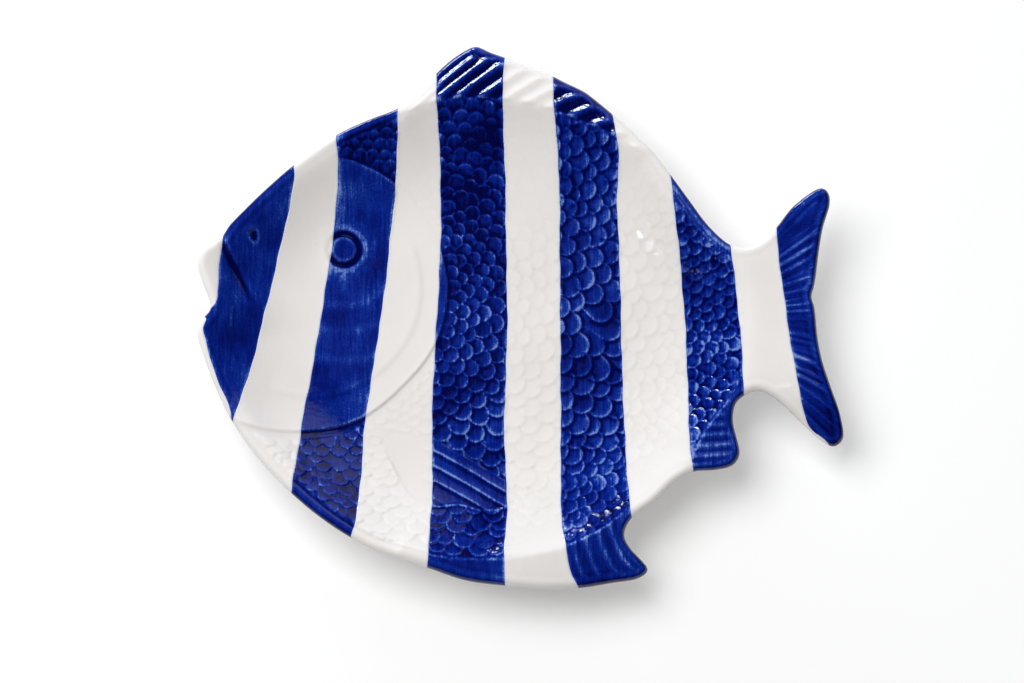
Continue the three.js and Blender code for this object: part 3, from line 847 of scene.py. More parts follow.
room = lattice(ROOM_SPACING)
short, _, past, turned = short_of_body(room)
room = room[(short < ROOM_SPACING / 2) & (past < 0) & (turned > GILL_ENDS[0] - 2) & (turned < GILL_ENDS[1])]
room = room[np.argsort(around(GILL_CENTRE, GILL_EDGE, room)[0])]
way, width, spacing = guided(room)
free = np.ones(len(room), bool)
centres = []
while free.any():
    pick = np.argmax(free)
    centres.append(room[pick])
    free &= np.hypot(*apart(room - room[pick], way[pick], width[pick], spacing[pick])) > CROWDED


def between(centres):
    """Steps between all pairs of scales, in the units of apart."""
    return apart(centres[:, None] - centres[None], *guided(centres))


def settled(centres, rounds):
    """Scales eased apart until each lies in the gap between two of the row before it."""
    for _ in range(rounds):
        way, width, spacing = guided(centres)
        along, aside = between(centres)
        gap = np.hypot(along, aside)
        np.fill_diagonal(gap, FAR_OFF)
        lean = np.arctan2(along, aside)
        push = np.clip(PUSH_REACH - gap, 0, PUSH_LIMIT)
        turning = TURN_SHARE * np.sin(6 * lean) * np.clip(TURN_REACH - gap, 0, TURN_LIMIT)
        forward = (push * np.sin(lean) - turning * np.cos(lean)).sum(1) * spacing / PACKED_ROW
        sideways = (push * np.cos(lean) + turning * np.sin(lean)).sum(1) * width
        across = np.column_stack([-way[:, 1], way[:, 0]])
        centres = centres + SETTLING_PACE * (way * forward[:, None] + across * sideways[:, None])
        short, out, past, _ = short_of_body(centres)
        to_well = (WELL_CENTRE - centres) / np.linalg.norm(WELL_CENTRE - centres, axis=1)[:, None]
        centres = centres + out * np.maximum(short, 0)[:, None] + to_well * np.maximum(past, 0)[:, None]
    return centres


centres = settled(np.array(centres), SETTLING)
kept = []
for number, gaps in enumerate(np.hypot(*between(centres))):
    if not np.any(gaps[kept] < SQUEEZED):
        kept.append(number)
centres = centres[kept]
room_gap = np.full(len(room), FAR_OFF)
for place, way, width, spacing in zip(centres, *guided(centres)):
    room_gap = np.minimum(room_gap, np.hypot(*apart(room - place, way, width, spacing)))
while room_gap.max() > ROOMY:
    place = room[np.argmax(room_gap)][None]
    centres = np.vstack([centres, place])
    room_gap = np.minimum(room_gap, np.hypot(*apart(room - place, *guided(place))))
centres = settled(centres, SETTLING // 2)

by_x = np.argsort(x)
sorted_x = x[by_x]
scaled = np.zeros(len(x))
free_edge = np.full(len(x), FAR_OFF)  # distance inside the free edge of the scale there
under_edge = np.full(len(x), FAR_OFF)  # and beyond the free edge of the one before it
scale_tone = np.zeros(len(x))
ways, widths, _ = guided(centres)
for (across, up), way, width in zip(centres, ways, widths):
    loose = 1 + ease(-up, 45, 55)
    heading = math.atan2(way[1], way[0]) + random.normal(0, TURN_SPREAD) * loose
    across, up = np.array([across, up]) + random.normal(0, PLACE_SPREAD, 2) * width * loose
    width = width * random.uniform(*WIDTH_SPREAD)
    tone = random.normal(0, TONE_SPREAD)
    look = SCALE_REACH * width
    low, high = np.searchsorted(sorted_x, [across - look, across + look])
    near = by_x[low:high]
    near = near[np.abs(y[near] - up) < look]
    right, over = x[near] - across, y[near] - up
    forward = (right * math.cos(heading) + over * math.sin(heading)) / width
    aside = (over * math.cos(heading) - right * math.sin(heading)) / width
    inset = (1 - np.hypot(np.maximum(forward, 0) / SCALE_NOSE, aside / SCALE_SIDE)) * SCALE_SIDE * width
    slope = np.clip((forward + SCALE_TAIL) / (SCALE_TAIL + SCALE_NOSE), 0, 1)
    crown = 1 - SCALE_CROWN * (aside / SCALE_SIDE) ** 2
    height = SCALE_RISE * width * slope * crown * ease(inset, 0, SCALE_STEP)
    higher = height > scaled[near]
    scaled[near[higher]] = height[higher]
    free_edge[near[higher]] = inset[higher]
    scale_tone[near[higher]] = tone
    beyond = (forward > 0) & (inset < 0.1)
    under_edge[near[beyond]] = np.minimum(under_edge[near[beyond]], np.maximum(-inset[beyond], 0))

SMOOTH_STRIP = 2.6  # width of the bare strip behind the gill cover, under the head
smooth_strip = SMOOTH_STRIP * ease(-head_angle, 50, 75)
behind_gill = ease(-inside_gill - smooth_strip, -0.2, 0.4 + smooth_strip / 3)
gill_start, gill_end = GILL_ENDS
beside_gill = ease(head_angle, gill_start, gill_start + 3) * (1 - ease(head_angle, gill_end - 3, gill_end))
scale_room = behind_gill * beside_gill * ease(inside_rim, 0.0, 1.4)
LINE_REACH = 5.0


def off_line(line):
    """Distance of every point of the face from a line of points, where it is near."""
    distance = np.full(len(x), FAR_OFF)
    for (ax, ay), (bx, by) in zip(line[:-1], line[1:]):
        near = np.abs(x - (ax + bx) / 2) < abs(bx - ax) / 2 + LINE_REACH
        near &= np.abs(y - (ay + by) / 2) < abs(by - ay) / 2 + LINE_REACH
        px, py = x[near] - ax, y[near] - ay
        share = np.clip((px * (bx - ax) + py * (by - ay)) / ((bx - ax) ** 2 + (by - ay) ** 2), 0, 1)
        reach = np.hypot(px - share * (bx - ax), py - share * (by - ay))
        distance[near] = np.minimum(distance[near], reach)
    return distance


def bead(distance, width):
    """Cross-section of a rounded ridge or groove."""
    return np.exp(-((distance / width) ** 2))


# Side fin: a smooth blade at its root, then rays that run parallel to its upper edge
SIDE_FIN_TOP = [
    (-54, -39.5), (-48, -40.3), (-33, -43.7), (-26, -47.5), (-18.5, -52), (-11, -57), (-5, -61), (1, -67.5)]
SIDE_FIN_END = [
    (-54, -42), (-48, -53), (-41, -66), (-33, -71.5), (-22, -71), (-15, -73), (-6, -72.5), (1, -68.5)]
SIDE_FIN_LIFT = 0.7
SIDE_RAY_RISE = 0.55
SIDE_HEM_RISE = 0.35
SIDE_STRIPS = np.array([0.3, 4.9, 11.0, 16.8, 24.0])  # edges of its rays, below the upper edge of the fin
SIDE_FIN_FILL = 0.35  # share of it that shows through the white glaze
fin_top = through(SIDE_FIN_TOP, 0.5)
fin_end = through(SIDE_FIN_END, 0.5)
below_top = np.interp(x, fin_top[:, 0], fin_top[:, 1]) - y
above_end = y - np.interp(x, fin_end[:, 0], fin_end[:, 1])
side_fin = ease(below_top, -0.4, 0.5) * ease(above_end, -0.4, 0.5)
side_fin *= ease(x, -55, -46) * (1 - ease(x, 0.5, 1.5))
strip = np.clip(np.searchsorted(SIDE_STRIPS, below_top) - 1, 0, len(SIDE_STRIPS) - 2)
strip_share = np.clip((below_top - SIDE_STRIPS[strip]) / (SIDE_STRIPS[strip + 1] - SIDE_STRIPS[strip]), 0, 1)
past_blade = ease(x, -38, -32)
side_rays = strip_share**1.6 * past_blade
# Painted highlight on the crest before each step of the side fin's rays, and painted shade just beyond the
# step.
side_ray_painted_highlight = np.max([bead(below_top - drop + 0.5, 0.6) for drop in SIDE_STRIPS], axis=0)
side_ray_painted_highlight *= side_fin * past_blade
side_ray_painted_shade = np.max([bead(below_top - drop - 0.8, 0.8) for drop in SIDE_STRIPS[1:]], axis=0)
side_ray_painted_shade *= side_fin * past_blade
side_hem = bead(above_end - 0.5, 0.6) * ease(x, -40, -30)
side_slope = 0.3 * ease(below_top, 0, 20) * ease(x, -38, -30)
side_lift = SIDE_FIN_LIFT * ease(x, -52, -34) - side_slope
side_fin_form = side_fin * (side_lift + SIDE_RAY_RISE * side_rays + SIDE_HEM_RISE * side_hem)
side_fin_form *= shown(SIDE_FIN_FILL)

# Eye: a domed boss in a groove, with a soft ring round it and ripples below
EYE_CENTRE = (-65.8, 28.8)
EYE_RADIUS = 5.0
EYE_GROOVE = 5.9
EYE_RING = 8.0
EYE_FILL = 0.12  # share of it that shows through the white glaze
RIPPLES = (21.3, 31.2, 42.5)
RIPPLE_RISE = 0.16
from_eye = np.hypot(x - EYE_CENTRE[0], y - EYE_CENTRE[1])
in_blue = EYE_FILL + (1 - EYE_FILL) * ease(past_eye_front, -0.8, 0.6)
boss = 0.75 * ease(EYE_RADIUS - from_eye, 0, 0.9) - 0.2 * bead(from_eye, 2.6)
socket = -0.7 * bead(from_eye - EYE_GROOVE, 0.85)
ring = 0.28 * bead(from_eye - EYE_RING, 1.2)
below_eye = ease(-(y - EYE_CENTRE[1]), 4, 12) * ease(inside_gill, 2, 8)
ripple = np.max([bead(from_eye - radius, 2.0) for radius in RIPPLES], axis=0) * below_eye
ripple *= ease(past_eye_front, -2, 2) * ease(-ahead_of("eye_rear", face_plan), -2, 2)
eye = (boss + socket + ring) * in_blue + RIPPLE_RISE * ripple

# Mouth, nostril and a nick by the jaw
MOUTH = [(-111.2, 27.5), (-106.2, 19.2), (-100.7, 8.7), (-99.2, 5.5)]
NICK = [(-107, 4), (-107.6, -3)]
NOSTRIL = (-99.2, 31.5)
NOSTRIL_SLANT = 14
mouth_line = through(MOUTH, 1)
below_mouth = mouth_line[:9] + np.array([1.5, 0.8])
mouth_depth = bead(off_line(mouth_line), 1.4) * ease(y, 4, 14)
mouth = 0.2 * bead(off_line(below_mouth), 0.9) - 0.75 * mouth_depth
nick = 0.25 * bead(off_line(NICK), 0.45)
slant = math.radians(NOSTRIL_SLANT)
pit_x = (x - NOSTRIL[0]) * math.cos(slant) + (y - NOSTRIL[1]) * math.sin(slant)
pit_y = (y - NOSTRIL[1]) * math.cos(slant) - (x - NOSTRIL[0]) * math.sin(slant)
from_pit = np.hypot(pit_x / (1.45 + 0.12 * pit_y), pit_y / 2.2)
nostril_ring = bead(from_pit - 1.5, 0.55)
nostril_pit = 1 - ease(from_pit, 0.6, 1.1)
nostril = 0.12 * nostril_ring - 0.9 * nostril_pit

# Fin rays: ridges that leave the root of a fin at one heading and bend to another
RAY_STEPS = 7
RIDGE_ROUNDING = 0.15


def ray(start, headings, length):
    """A line of points from a start, turning from one heading to another."""
    turns = np.radians(np.linspace(*headings, RAY_STEPS))
    steps = np.column_stack([np.cos(turns), np.sin(turns)]) * length / RAY_STEPS
    return np.vstack([start, start + np.cumsum(steps, axis=0)])


def fan(fin, count, first_headings, last_headings, length):
    """Distance from the nearest ray of a fin, with headings that change from the first ray to the last."""
    line = through(PLAN[fin]["root"], 0.5)
    nearest_ray = np.full(len(x), FAR_OFF)
    for number in range(count):
        share = (number + 0.5) / count
        start = line[round(share * (len(line) - 1))]
        headings = [(1 - share) * a + share * b for a, b in zip(first_headings, last_headings)]
        nearest_ray = np.minimum(nearest_ray, off_line(ray(start, headings, length)))
    return nearest_ray


def ridge(distance, width):
    """Cross-section of a ridge with straight flanks."""
    return np.clip(1 - np.hypot(distance, RIDGE_ROUNDING) / width, 0, None)


on_fin = ease(-inside_rim, -0.7, 0.7) * ease(face_distance, 2.0, 4.0)
back_rays = 1.5 * ridge(fan("back_fin", 11, (14, 24), (46, 40), 30), 2.4)
belly_rays = ridge(fan("belly_fin", 17, (-95, -85), (-74, -38), 24), 2.0) * (0.2 + 0.5 * ease(x, 13, 20))
hind_rays = 0.6 * ridge(fan("hind_fin", 7, (2, 14), (8, 10), 22), 1.8)
TAIL_ROOT = (62.0, -1.0)
TAIL_RAYS = 23
TAIL_REACH = 66
TAIL_BEND = 1.12  # heading at a ray's end, as a share of that at its start
TAIL_RISE = 0.42
FIN_FILL = 0.4  # share of the rays and the lip that shows through the white glaze
tail_angles = np.linspace(-42, 40, TAIL_RAYS) + random.normal(0, 0.6, TAIL_RAYS)
tail_strengths = random.uniform(0.2, 1, TAIL_RAYS)
tail_rays = np.zeros(len(x))
for angle, strength in zip(tail_angles, tail_strengths):
    from_ray = off_line(ray(TAIL_ROOT, (angle, angle * TAIL_BEND), TAIL_REACH))
    tail_rays = np.maximum(tail_rays, strength * bead(from_ray, 0.45 + 0.5 * strength))
tail_rays *= ease(past_tail_front, -2.5, 1.5) * ease(face_distance, 1.6, 3.6)
rays = (back_rays + belly_rays + hind_rays) * on_fin + TAIL_RISE * tail_rays
rays *= shown(FIN_FILL)
ray_light = 3.0 * tail_rays + 0.6 * (belly_rays + hind_rays) * on_fin

# Lip: a smooth bead along the edge with a shallow groove inside it
LIP_RISE = 0.12
lip = LIP_RISE * (bead(face_distance - 2.2, 1.0) - bead(face_distance - 4.0, 0.7)) * shown(FIN_FILL)

# Slow waviness of a hand-finished mould
SWELL = 0.1
SWELL_WAVES = (  # lengths per radian along X and Y, and shift
    (9.3, 17.1, 0.0), (-21.7, 8.1, 1.9), (13.3, 13.3, 0.7))
swell = SWELL * sum(np.sin(x / along + y / up + shift) for along, up, shift in SWELL_WAVES)
swell *= ease(face_distance, 1.5, 8)

# All of the relief together
WHITE_FILL = 0.6  # share of the scales' relief that shows through the thicker white glaze
open_body = scale_room * (1 - side_fin)
white_top = 1 - 0.8 * ease(y - 0.25 * np.abs(x), 18, 46)
white_rim = 1 - ease(x, -8, 4) * (1 - ease(inside_rim, 5, 15)) * ease(-y, 20, 35)
white_low = 1 + 0.5 * ease(-y, 40, 55) * ease(-x, 12, 22)
gill_shown = shown(1 - 0.85 * ease(head_angle, 0, 22) - 0.5 * ease(-head_angle, 70, 95))
relief = gill * gill_shown + cheek + eye + mouth + nick + nostril + rays + lip + swell
relief += scaled * open_body * shown(WHITE_FILL * white_top * white_rim * white_low)
relief += side_fin_form * (1 - ease(inside_gill, -1, 0.5))

face_edges = np.unique(np.sort(sides_of(face_faces), axis=1), axis=0)
edge_from, edge_to = face_edges.T
neighbours = np.bincount(edge_from, minlength=len(x)) + np.bincount(edge_to, minlength=len(x))
OWN_SHARE = 0.4


def spread(values, rounds):
    """Values evened out among neighbouring points of the face."""
    for _ in range(rounds):
        total = np.bincount(edge_from, values[edge_to], len(x))
        total += np.bincount(edge_to, values[edge_from], len(x))
        values = OWN_SHARE * values + (1 - OWN_SHARE) * total / neighbours
    return values


# Depth of the glaze: 0 where it lies thin and pale, 1 where it has gathered and is dark. Painted highlights,
# glints and painted shade are added into the same values below.
RELIEF_EASING = 1
POOL_ROUNDS = 16
POOL_DEPTH = 0.55  # of a hollow that takes the glaze from thin to thick
PALEST_SCALE = -0.07
# Gap darkening under a free edge: partly glaze gathered there, partly painted shade.
GAP_GLAZE_AND_SHADE = 0.55  # how much deeper it lies in the gap under a free edge
THICK_PATCH = (-13, 70)  # a place on the shoulder where it has filled the scales
relief = spread(relief, RELIEF_EASING)
glaze_depth_and_painted_light = 0.5 + (spread(relief, POOL_ROUNDS) - relief) / POOL_DEPTH
fleck = spread(random.normal(0, 1, len(x)), 2)
fleck /= np.std(fleck)


def flecked(strength, least, most):
    """A factor that changes from point to point, as thin glaze breaks over an edge and painted glints break
    up along it.
    """
    return np.clip(1 + strength * fleck, least, most)


# On the scales it is pale along each free edge, with painted glints flecked in there, and darker in the gap
# under each free edge, partly gathered glaze and partly painted shade; it also changes over the body
front_half = ease(-x, -4, 8)
hind_part = ease(x, 48, 55)
low_end = ease(-y, 45, 60)
below_cheek = ease(-y, 42, 50) * ease(-x, 45, 52)
rim_of_scale = bead(free_edge - 0.3, 0.36)
# Darker just past the free edge of the scale before: gathered glaze, and painted shade under that edge.
gap_glaze_and_shade = bead(under_edge, 1.1) * (1 - rim_of_scale) * (0.45 + 0.55 * ease(y, -62, -40))
towards_rim = 1 - ease(free_edge, 0.2, 2.8)
# Paleness along each free edge: thin glaze over the edge, with painted glints flecked along it.
rim_thin_glaze_and_glint = 0.22 + 0.26 * ease(-y, -62, -40) + 0.12 * ease(-y, -20, 25) + scale_tone
rim_thin_glaze_and_glint *= flecked(0.7, 0.1, 2.5) * (1 - 0.4 * below_cheek) * (1 - 0.3 * ease(x, 2, 10))
slope_light = 0.07 + 0.1 * ease(-y, -30, 10) * (1 - hind_part) * (1 - 0.8 * low_end)
scale_glaze_and_painted_light = np.maximum(scale_tone, PALEST_SCALE) + front_half * (0.1 + 0.08 * ease(y, 35, 60))
scale_glaze_and_painted_light -= 0.09 * hind_part * (1 - ease(-y, 10, 25))
scale_glaze_and_painted_light -= (1 - front_half) * (0.03 + 0.08 * ease(np.abs(y), 30, 45) * (1 - low_end))
scale_glaze_and_painted_light += GAP_GLAZE_AND_SHADE * gap_glaze_and_shade - rim_thin_glaze_and_glint * rim_of_scale - slope_light * towards_rim
thick_glaze = bead(np.hypot(x - THICK_PATCH[0], y - THICK_PATCH[1]), 7.0)
glaze_depth_and_painted_light += open_body * scale_glaze_and_painted_light * np.where(blue_here, 1 - 0.8 * thick_glaze, 0.5 * white_top * white_rim)

# Elsewhere it gathers in grooves and hollows, and thins on rays, along roots and beside the borders. Painted
# shade is laid just behind the gill cover, beyond each step of the side fin's rays and along the outer edge
# of the blue, and painted highlights along the fin roots, the lip, the crests of the side fin's rays and its
# hem
halo = ease(from_eye, 6.6, 7.8) * np.exp(-np.maximum(from_eye - 7.8, 0) / 3.8) * flecked(0.2, 0.2, 2)
# Painted shadow on the body just behind the raised rear edge of the gill cover.
painted_gill_shadow = beside_gill * ease(-inside_gill, 0, 0.3) * np.exp(-np.maximum(-inside_gill, 0) / 1.6)
on_back_fin = on_fin * ease(y, 55, 62)
above_belly_fin = bead(inside_rim - 2.5, 2.5) * ease(-y, 60, 70) * ease(x, -5, 5)
# Pale line along the roots of the fins: glaze thin on the crest, and a painted highlight flecked along it.
root_thin_glaze_and_highlight = bead(inside_rim, 0.6) * ease(face_distance, 2.5, 4.0) * ease(x, -52, -45)
root_thin_glaze_and_highlight = np.maximum(root_thin_glaze_and_highlight, bead(off_line(PLAN["hind_fin"]["root"][:5]), 0.5))
# Pale line along the lip bead, strongest on the upper edge of the hind part: thin glaze, and a painted
# highlight.
hind_top = ease(x, 52, 58) * (1 - ease(x, 82, 86)) * ease(y, 15, 25)
lip_thin_glaze_and_highlight = bead(face_distance - 2.0, 0.45) * (0.06 + 0.2 * ease(x, 20, 45) + 0.35 * hind_top)
from_border = beside_border(face_plan)
for deeper, where in (  # how much deeper the glaze lies, and where
    (0.5, bead(from_eye - EYE_GROOVE, 0.95)),
    (-0.5, halo),
    (-0.1, bead(from_eye, 3.5)),
    (-0.15, bead(from_eye - 4.5, 0.5)),
    (0.16, bead(from_eye - 14, 3.5) * ease(x - EYE_CENTRE[0], 0, 6)),
    (0.5, nostril_pit),
    (-0.12, nostril_ring),
    (0.4, mouth_depth),
    (-0.13, ripple),
    (-0.09, ray_light),
    (0.12, ease(past_tail_front, -2, 1)),
    (0.12, side_fin),
    (0.35, side_ray_painted_shade),
    (-0.35, side_ray_painted_highlight),
    (0.45, painted_gill_shadow * gill_shown),
    (0.12, beside_gill * bead(inside_gill - 0.5, 0.9) * gill_shown),
    (0.35, thick_glaze * blue_here),
    (0.3, above_belly_fin * blue_here),
    (-0.3, bead(past_eye_front, 2.6) * ease(y, 33, 45) * blue_here),
    (0.32, on_back_fin * blue_here),
    (0.3, (1 - ease(back_rays, 0, 0.7)) * on_back_fin * blue_here),
    # Painted shade along the outermost rounded edge of the blue.
    (0.35, bead(face_distance, 0.9) * blue_here),
    # Painted glints flecked along the hem of the side fin.
    (-0.35, side_hem * side_fin * flecked(1, 0, 3) * blue_here),
    (-0.6, root_thin_glaze_and_highlight * flecked(0.35, 0.3, 1.6) * blue_here),
    (-1.0, lip_thin_glaze_and_highlight * flecked(0.35, 0.3, 1.6) * blue_here),
    (-0.4, bead(from_border, 0.6) * blue_here),
):
    glaze_depth_and_painted_light += deeper * where
glaze_depth_and_painted_light = spread(np.clip(glaze_depth_and_painted_light, 0, 1), 1)
stain = 0.5 * bead(from_border, 0.5)  # of blue that has run into the white

# Brush strokes: down the bands, and along the rays of the tail
STROKE_WIDTH = 1.0
STROKE_LENGTH = 12.0
TAIL_SPREAD = 45.0  # from the tail's root to where its strokes are as wide as elsewhere
TAIL_STROKES = -1.5  # from the tail's border, where they turn to follow the rays
on_tail = past_tail_front > TAIL_STROKES
tail_x, tail_y = (face_plan - np.array(TAIL_ROOT)).T
across_stroke = np.where(on_tail, np.arctan2(tail_y, tail_x) * TAIL_SPREAD, x) / STROKE_WIDTH
along_stroke = np.where(on_tail, np.hypot(tail_x, tail_y), y) / STROKE_LENGTH

face_heights = face_height(face_plan, face_distance) + relief * rounding(face_distance, 0)

# White bands
# Seven coats of white glaze on the face, from the lip to the root of the tail. Each is a closed skin, with
# its moulded top, a plain underside on the clay and walls where it meets its neighbours.
UNDER_SPACING = 3.0
UNDER_INSET = 0.5  # from the rounded edge
UNDER_CLEAR = 1.0  # from a border
under_points = inner_points(UNDER_SPACING, EDGE_ROUNDING + UNDER_INSET)
under_points = under_points[beside_border(under_points) > UNDER_CLEAR]
under_bands = band_of(under_points)
face_band = band_of(sum(face_plan[face_faces[:, corner]] for corner in range(3)) / 3)
FACE_VALUES = {
    "glaze_depth_and_painted_light": glaze_depth_and_painted_light, "stain": stain, "across_stroke": across_stroke, "along_stroke": along_stroke}
UNDER_VALUE = 0.5  # of all four on the hidden underside


def loops_of(edges):
    """Border edges put in order round each loop."""
    following = dict(edges)
    loops = []
    while following:
        start = next(iter(following))
        loop = [start]
        step = following.pop(start)
        while step != start:
            loop.append(step)
            step = following.pop(step)
        loops.append(loop)
    return loops


def inside_loop(points, loop):
    """Whether each point lies inside a loop, by counting the sides that a line to the right crosses."""
    count = np.zeros(len(points), int)
    for (ax, ay), (bx, by) in zip(loop, np.roll(loop, -1, axis=0)):
        spans = (points[:, 1] < max(ay, by)) & (points[:, 1] >= min(ay, by))
        if ay != by:
            count[spans] += points[spans, 0] < ax + (points[spans, 1] - ay) * (bx - ax) / (by - ay)
    return count % 2 == 1


def add_band(number, material):
    """One band of glaze on the face."""
    used, top_faces = np.unique(face_faces[face_band == number], return_inverse=True)
    top_faces = top_faces.reshape(-1, 3)
    top = standing(face_plan[used], face_heights[used])
    rim = np.unique(border_edges(top_faces))
    order = {point: place for place, point in enumerate(rim)}
    rim_edges = [(order[a], order[b]) for a, b in border_edges(top_faces)]
    pushed, _ = pushed_in(face_plan[used[rim]], face_distance[used[rim]], face_inward[used[rim]])
    loop = pushed[loops_of(rim_edges)[0]]
    low_points = np.vstack([pushed, under_points[under_bands == number]])
    plan, low_faces = triangulate(low_points, rim_edges, lambda middles: inside_loop(middles, loop))
    below = np.zeros(len(used), int)
    below[rim] = nearest_in(search_tree(plan), pushed)
    distance, _ = from_edge(plan)
    low = standing(plan, clay_face(plan, distance) + FILM)
    name = BAND_NAMES[number]
    piece = solid_between(name, top, top_faces, low, low_faces, below)
    for title, values in FACE_VALUES.items():
        attribute = piece.data.attributes.new(title, "FLOAT", "POINT")
        both = np.append(values[used], np.full(len(plan), UNDER_VALUE))
        attribute.data.foreach_set("value", both.astype(np.float32))
    colour, _, place = name.split("_", 2)
    dress(piece, material, "glaze_" + colour + "_" + place)


for number in np.flatnonzero(~IS_BLUE):
    add_band(number, white_glaze)

# Blue bands
# Six coats of cobalt glaze between the white ones. It is translucent, so it shows pale where it thins over a
# raised edge and dark where it gathers in a hollow, and the strokes of the brush show along the bands.
# Painted glints, highlights and painted shade are laid into the same colour.


def blue_finish():
    """Glossy cobalt glaze whose colour follows its depth, and the painted highlights, glints and shade laid
    into it, with brush strokes, clouds and grain in it.
    """
    material, tree, shader, place = new_finish("blue_glaze")
    drawn = lay(tree, "ShaderNodeCombineXYZ", {
        "X": carried(tree, "across_stroke"), "Y": carried(tree, "along_stroke")}).outputs["Vector"]
    strokes = lay(tree, "ShaderNodeTexNoise", {
        "Vector": drawn, "Scale": 1.0, "Detail": 4.0, "Roughness": 0.72}).outputs["Fac"]
    cloud = noise(tree, place, 55.0, 4.0)
    grain = noise(tree, place, 1500.0, 2.0)
    depth = carried(tree, "glaze_depth_and_painted_light")
    for pattern, weight in ((strokes, 1.0), (cloud, 1.2), (grain, 0.5)):
        swing = reckon(tree, "MULTIPLY_ADD", pattern, weight, -weight / 2)
        depth = reckon(tree, "ADD", depth, swing)
    # The palest stops show thin glaze, and also the painted glints and highlights laid into the depth values.
    cobalt = (
        (0.0, (0.16, 0.25, 0.60, 1)), (0.12, (0.036, 0.09, 0.42, 1)), (0.3, (0.004, 0.028, 0.285, 1)),
        (0.55, (0.001, 0.0115, 0.205, 1)), (0.95, (0.0, 0.001, 0.055, 1)))
    tree.links.new(toned(tree, depth, cobalt), shader.inputs["Base Color"])
    tree.links.new(mapped(tree, cloud, 0.05, 0.13), shader.inputs["Roughness"])
    roughen(tree, shader, noise(tree, place, 520.0, 2.0), 0.4, 0.0003)
    shader.inputs["IOR"].default_value = GLAZE_IOR
    return material


blue_glaze = blue_finish()
for number in np.flatnonzero(IS_BLUE):
    add_band(number, blue_glaze)

# Floor and light
# A white table top and a room that is brighter overhead, with a window. A large soft lamp stands high to the
# left, two low ones behind the plate catch the rays of the back fin, and a small one lights the white scales.
FLOOR_SIZE = 8.0  # metres, as are the places and sizes of the lamps
FLOOR_GLOW = 0.18  # of the table where it is looked at or mirrored

floor_mesh = bpy.data.meshes.new("table_top")
half = FLOOR_SIZE / 2
floor_corners = [(-half, -half, 0), (half, -half, 0), (half, half, 0), (-half, half, 0)]
floor_mesh.from_pydata(floor_corners, [], [(0, 1, 2, 3)])
table = placed("table_top", floor_mesh)
table_finish = bpy.data.materials.new("white_table")
table_finish.use_nodes = True
table_tree = table_finish.node_tree
table_tree.nodes.remove(table_tree.nodes["Principled BSDF"])
light_path = lay(table_tree, "ShaderNodeLightPath").outputs
mirrored = reckon(table_tree, "ADD", light_path["Is Glossy Ray"], light_path["Is Transmission Ray"])
viewed = reckon(table_tree, "ADD", light_path["Is Camera Ray"], mirrored)
glow = lay(table_tree, "ShaderNodeEmission", {"Strength": reckon(table_tree, "MULTIPLY", viewed, FLOOR_GLOW)})
matt = lay(table_tree, "ShaderNodeBsdfDiffuse", {"Color": (0.83, 0.83, 0.83, 1)})
both = lay(table_tree, "ShaderNodeAddShader", {0: matt.outputs["BSDF"], 1: glow.outputs["Emission"]})
table_tree.links.new(both.outputs["Shader"], table_tree.nodes["Material Output"].inputs["Surface"])
floor_mesh.materials.append(table_finish)


def softbox(name, place, width, height, power, colour):
    """A flat lamp that faces the plate."""
    lamp = bpy.data.lights.new(name, "AREA")
    lamp.shape = "RECTANGLE"
    lamp.size = width
    lamp.size_y = height
    lamp.energy = power
    lamp.color = colour
    box = placed(name, lamp)
    box.location = place
    box.rotation_euler = (-Vector(place)).to_track_quat("-Z", "Y").to_euler()
    return box


PLAIN_WHITE = (1.0, 1.0, 1.0)
COOL_WHITE = (0.78, 0.87, 1.0)
diffuser = softbox("diffuser", (-0.95, 0.52, 2.24), 1.8, 1.8, 46.5, PLAIN_WHITE)
diffuser.visible_glossy = False
softbox("low_strip", (-0.75, 1.69, 0.18), 0.45, 0.3, 11.0, COOL_WHITE)
softbox("fin_lamp", (-0.29, 1.82, 0.18), 0.25, 0.3, 6.0, COOL_WHITE)
softbox("side_lamp", (-1.20, -0.31, 1.30), 0.05, 0.05, 0.16, COOL_WHITE)

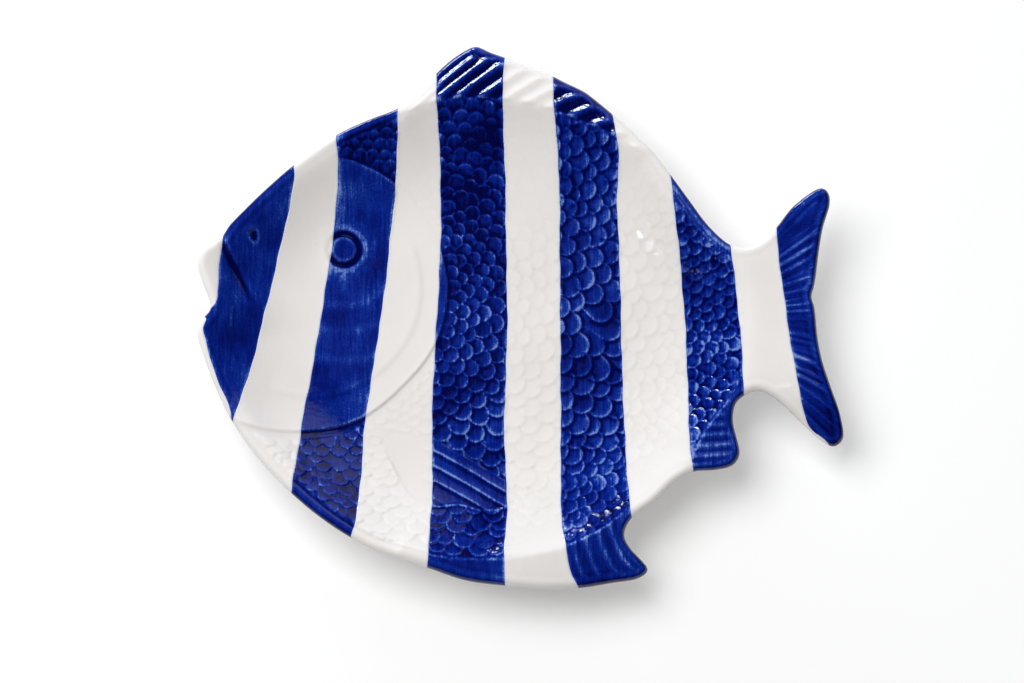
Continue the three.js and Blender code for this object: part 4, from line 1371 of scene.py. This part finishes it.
surroundings = bpy.data.worlds.new("room")
surroundings.use_nodes = True
bpy.context.scene.world = surroundings
room_tree = surroundings.node_tree
ROOM_LEVEL = 0.5
LOW_SHARE = 0.15  # of that level, at the horizon and below
ROOM_MIRRORED = 0.02  # level of the room as the glaze mirrors it
WINDOW_LEVEL = 0.75
WINDOW_WAY = (0.36, 0.79, 0.49)
WINDOW_EDGE = (0.93, 0.985)  # cosines between which the window rises to its level
direction = lay(room_tree, "ShaderNodeTexCoord").outputs["Generated"]
towards = lay(room_tree, "ShaderNodeVectorMath", {
    0: direction, 1: WINDOW_WAY}, operation="DOT_PRODUCT").outputs["Value"]
window = mapped(room_tree, towards, 0.0, WINDOW_LEVEL, *WINDOW_EDGE)
glossy = lay(room_tree, "ShaderNodeLightPath").outputs["Is Glossy Ray"]
height = lay(room_tree, "ShaderNodeSeparateXYZ", {"Vector": direction}).outputs["Z"]
ceiling = mapped(room_tree, height, LOW_SHARE * ROOM_LEVEL, ROOM_LEVEL)
level = mapped(room_tree, glossy, ceiling, ROOM_MIRRORED)
strength = reckon(room_tree, "ADD", level, window)
room_tree.links.new(strength, room_tree.nodes["Background"].inputs["Strength"])
room_tree.nodes["Background"].inputs["Color"].default_value = (1, 1, 1, 1)

# Camera
# It looks down on the plate from the belly side, 14 degrees off the vertical. It stands far off with a long
# lens, so there is next to no perspective.
VIEW_ELEVATION = math.radians(76)
VIEW_LENS = 500.0
VIEW_WIDTH = 0.3804  # of the frame, at the height of the rim
VIEW_TARGET = Vector((-0.003, -0.0101, 0.026))
camera_lens = bpy.data.cameras.new("camera")
camera_lens.lens = VIEW_LENS
camera_lens.sensor_width = 36.0
camera = placed("camera", camera_lens)
view_back = Vector((0, -math.cos(VIEW_ELEVATION), math.sin(VIEW_ELEVATION)))
camera.location = VIEW_TARGET + view_back * (VIEW_WIDTH * VIEW_LENS / camera_lens.sensor_width)
camera.rotation_euler = (-view_back).to_track_quat("-Z", "Y").to_euler()
bpy.context.scene.camera = camera
bpy.context.scene.view_settings.view_transform = "Standard"
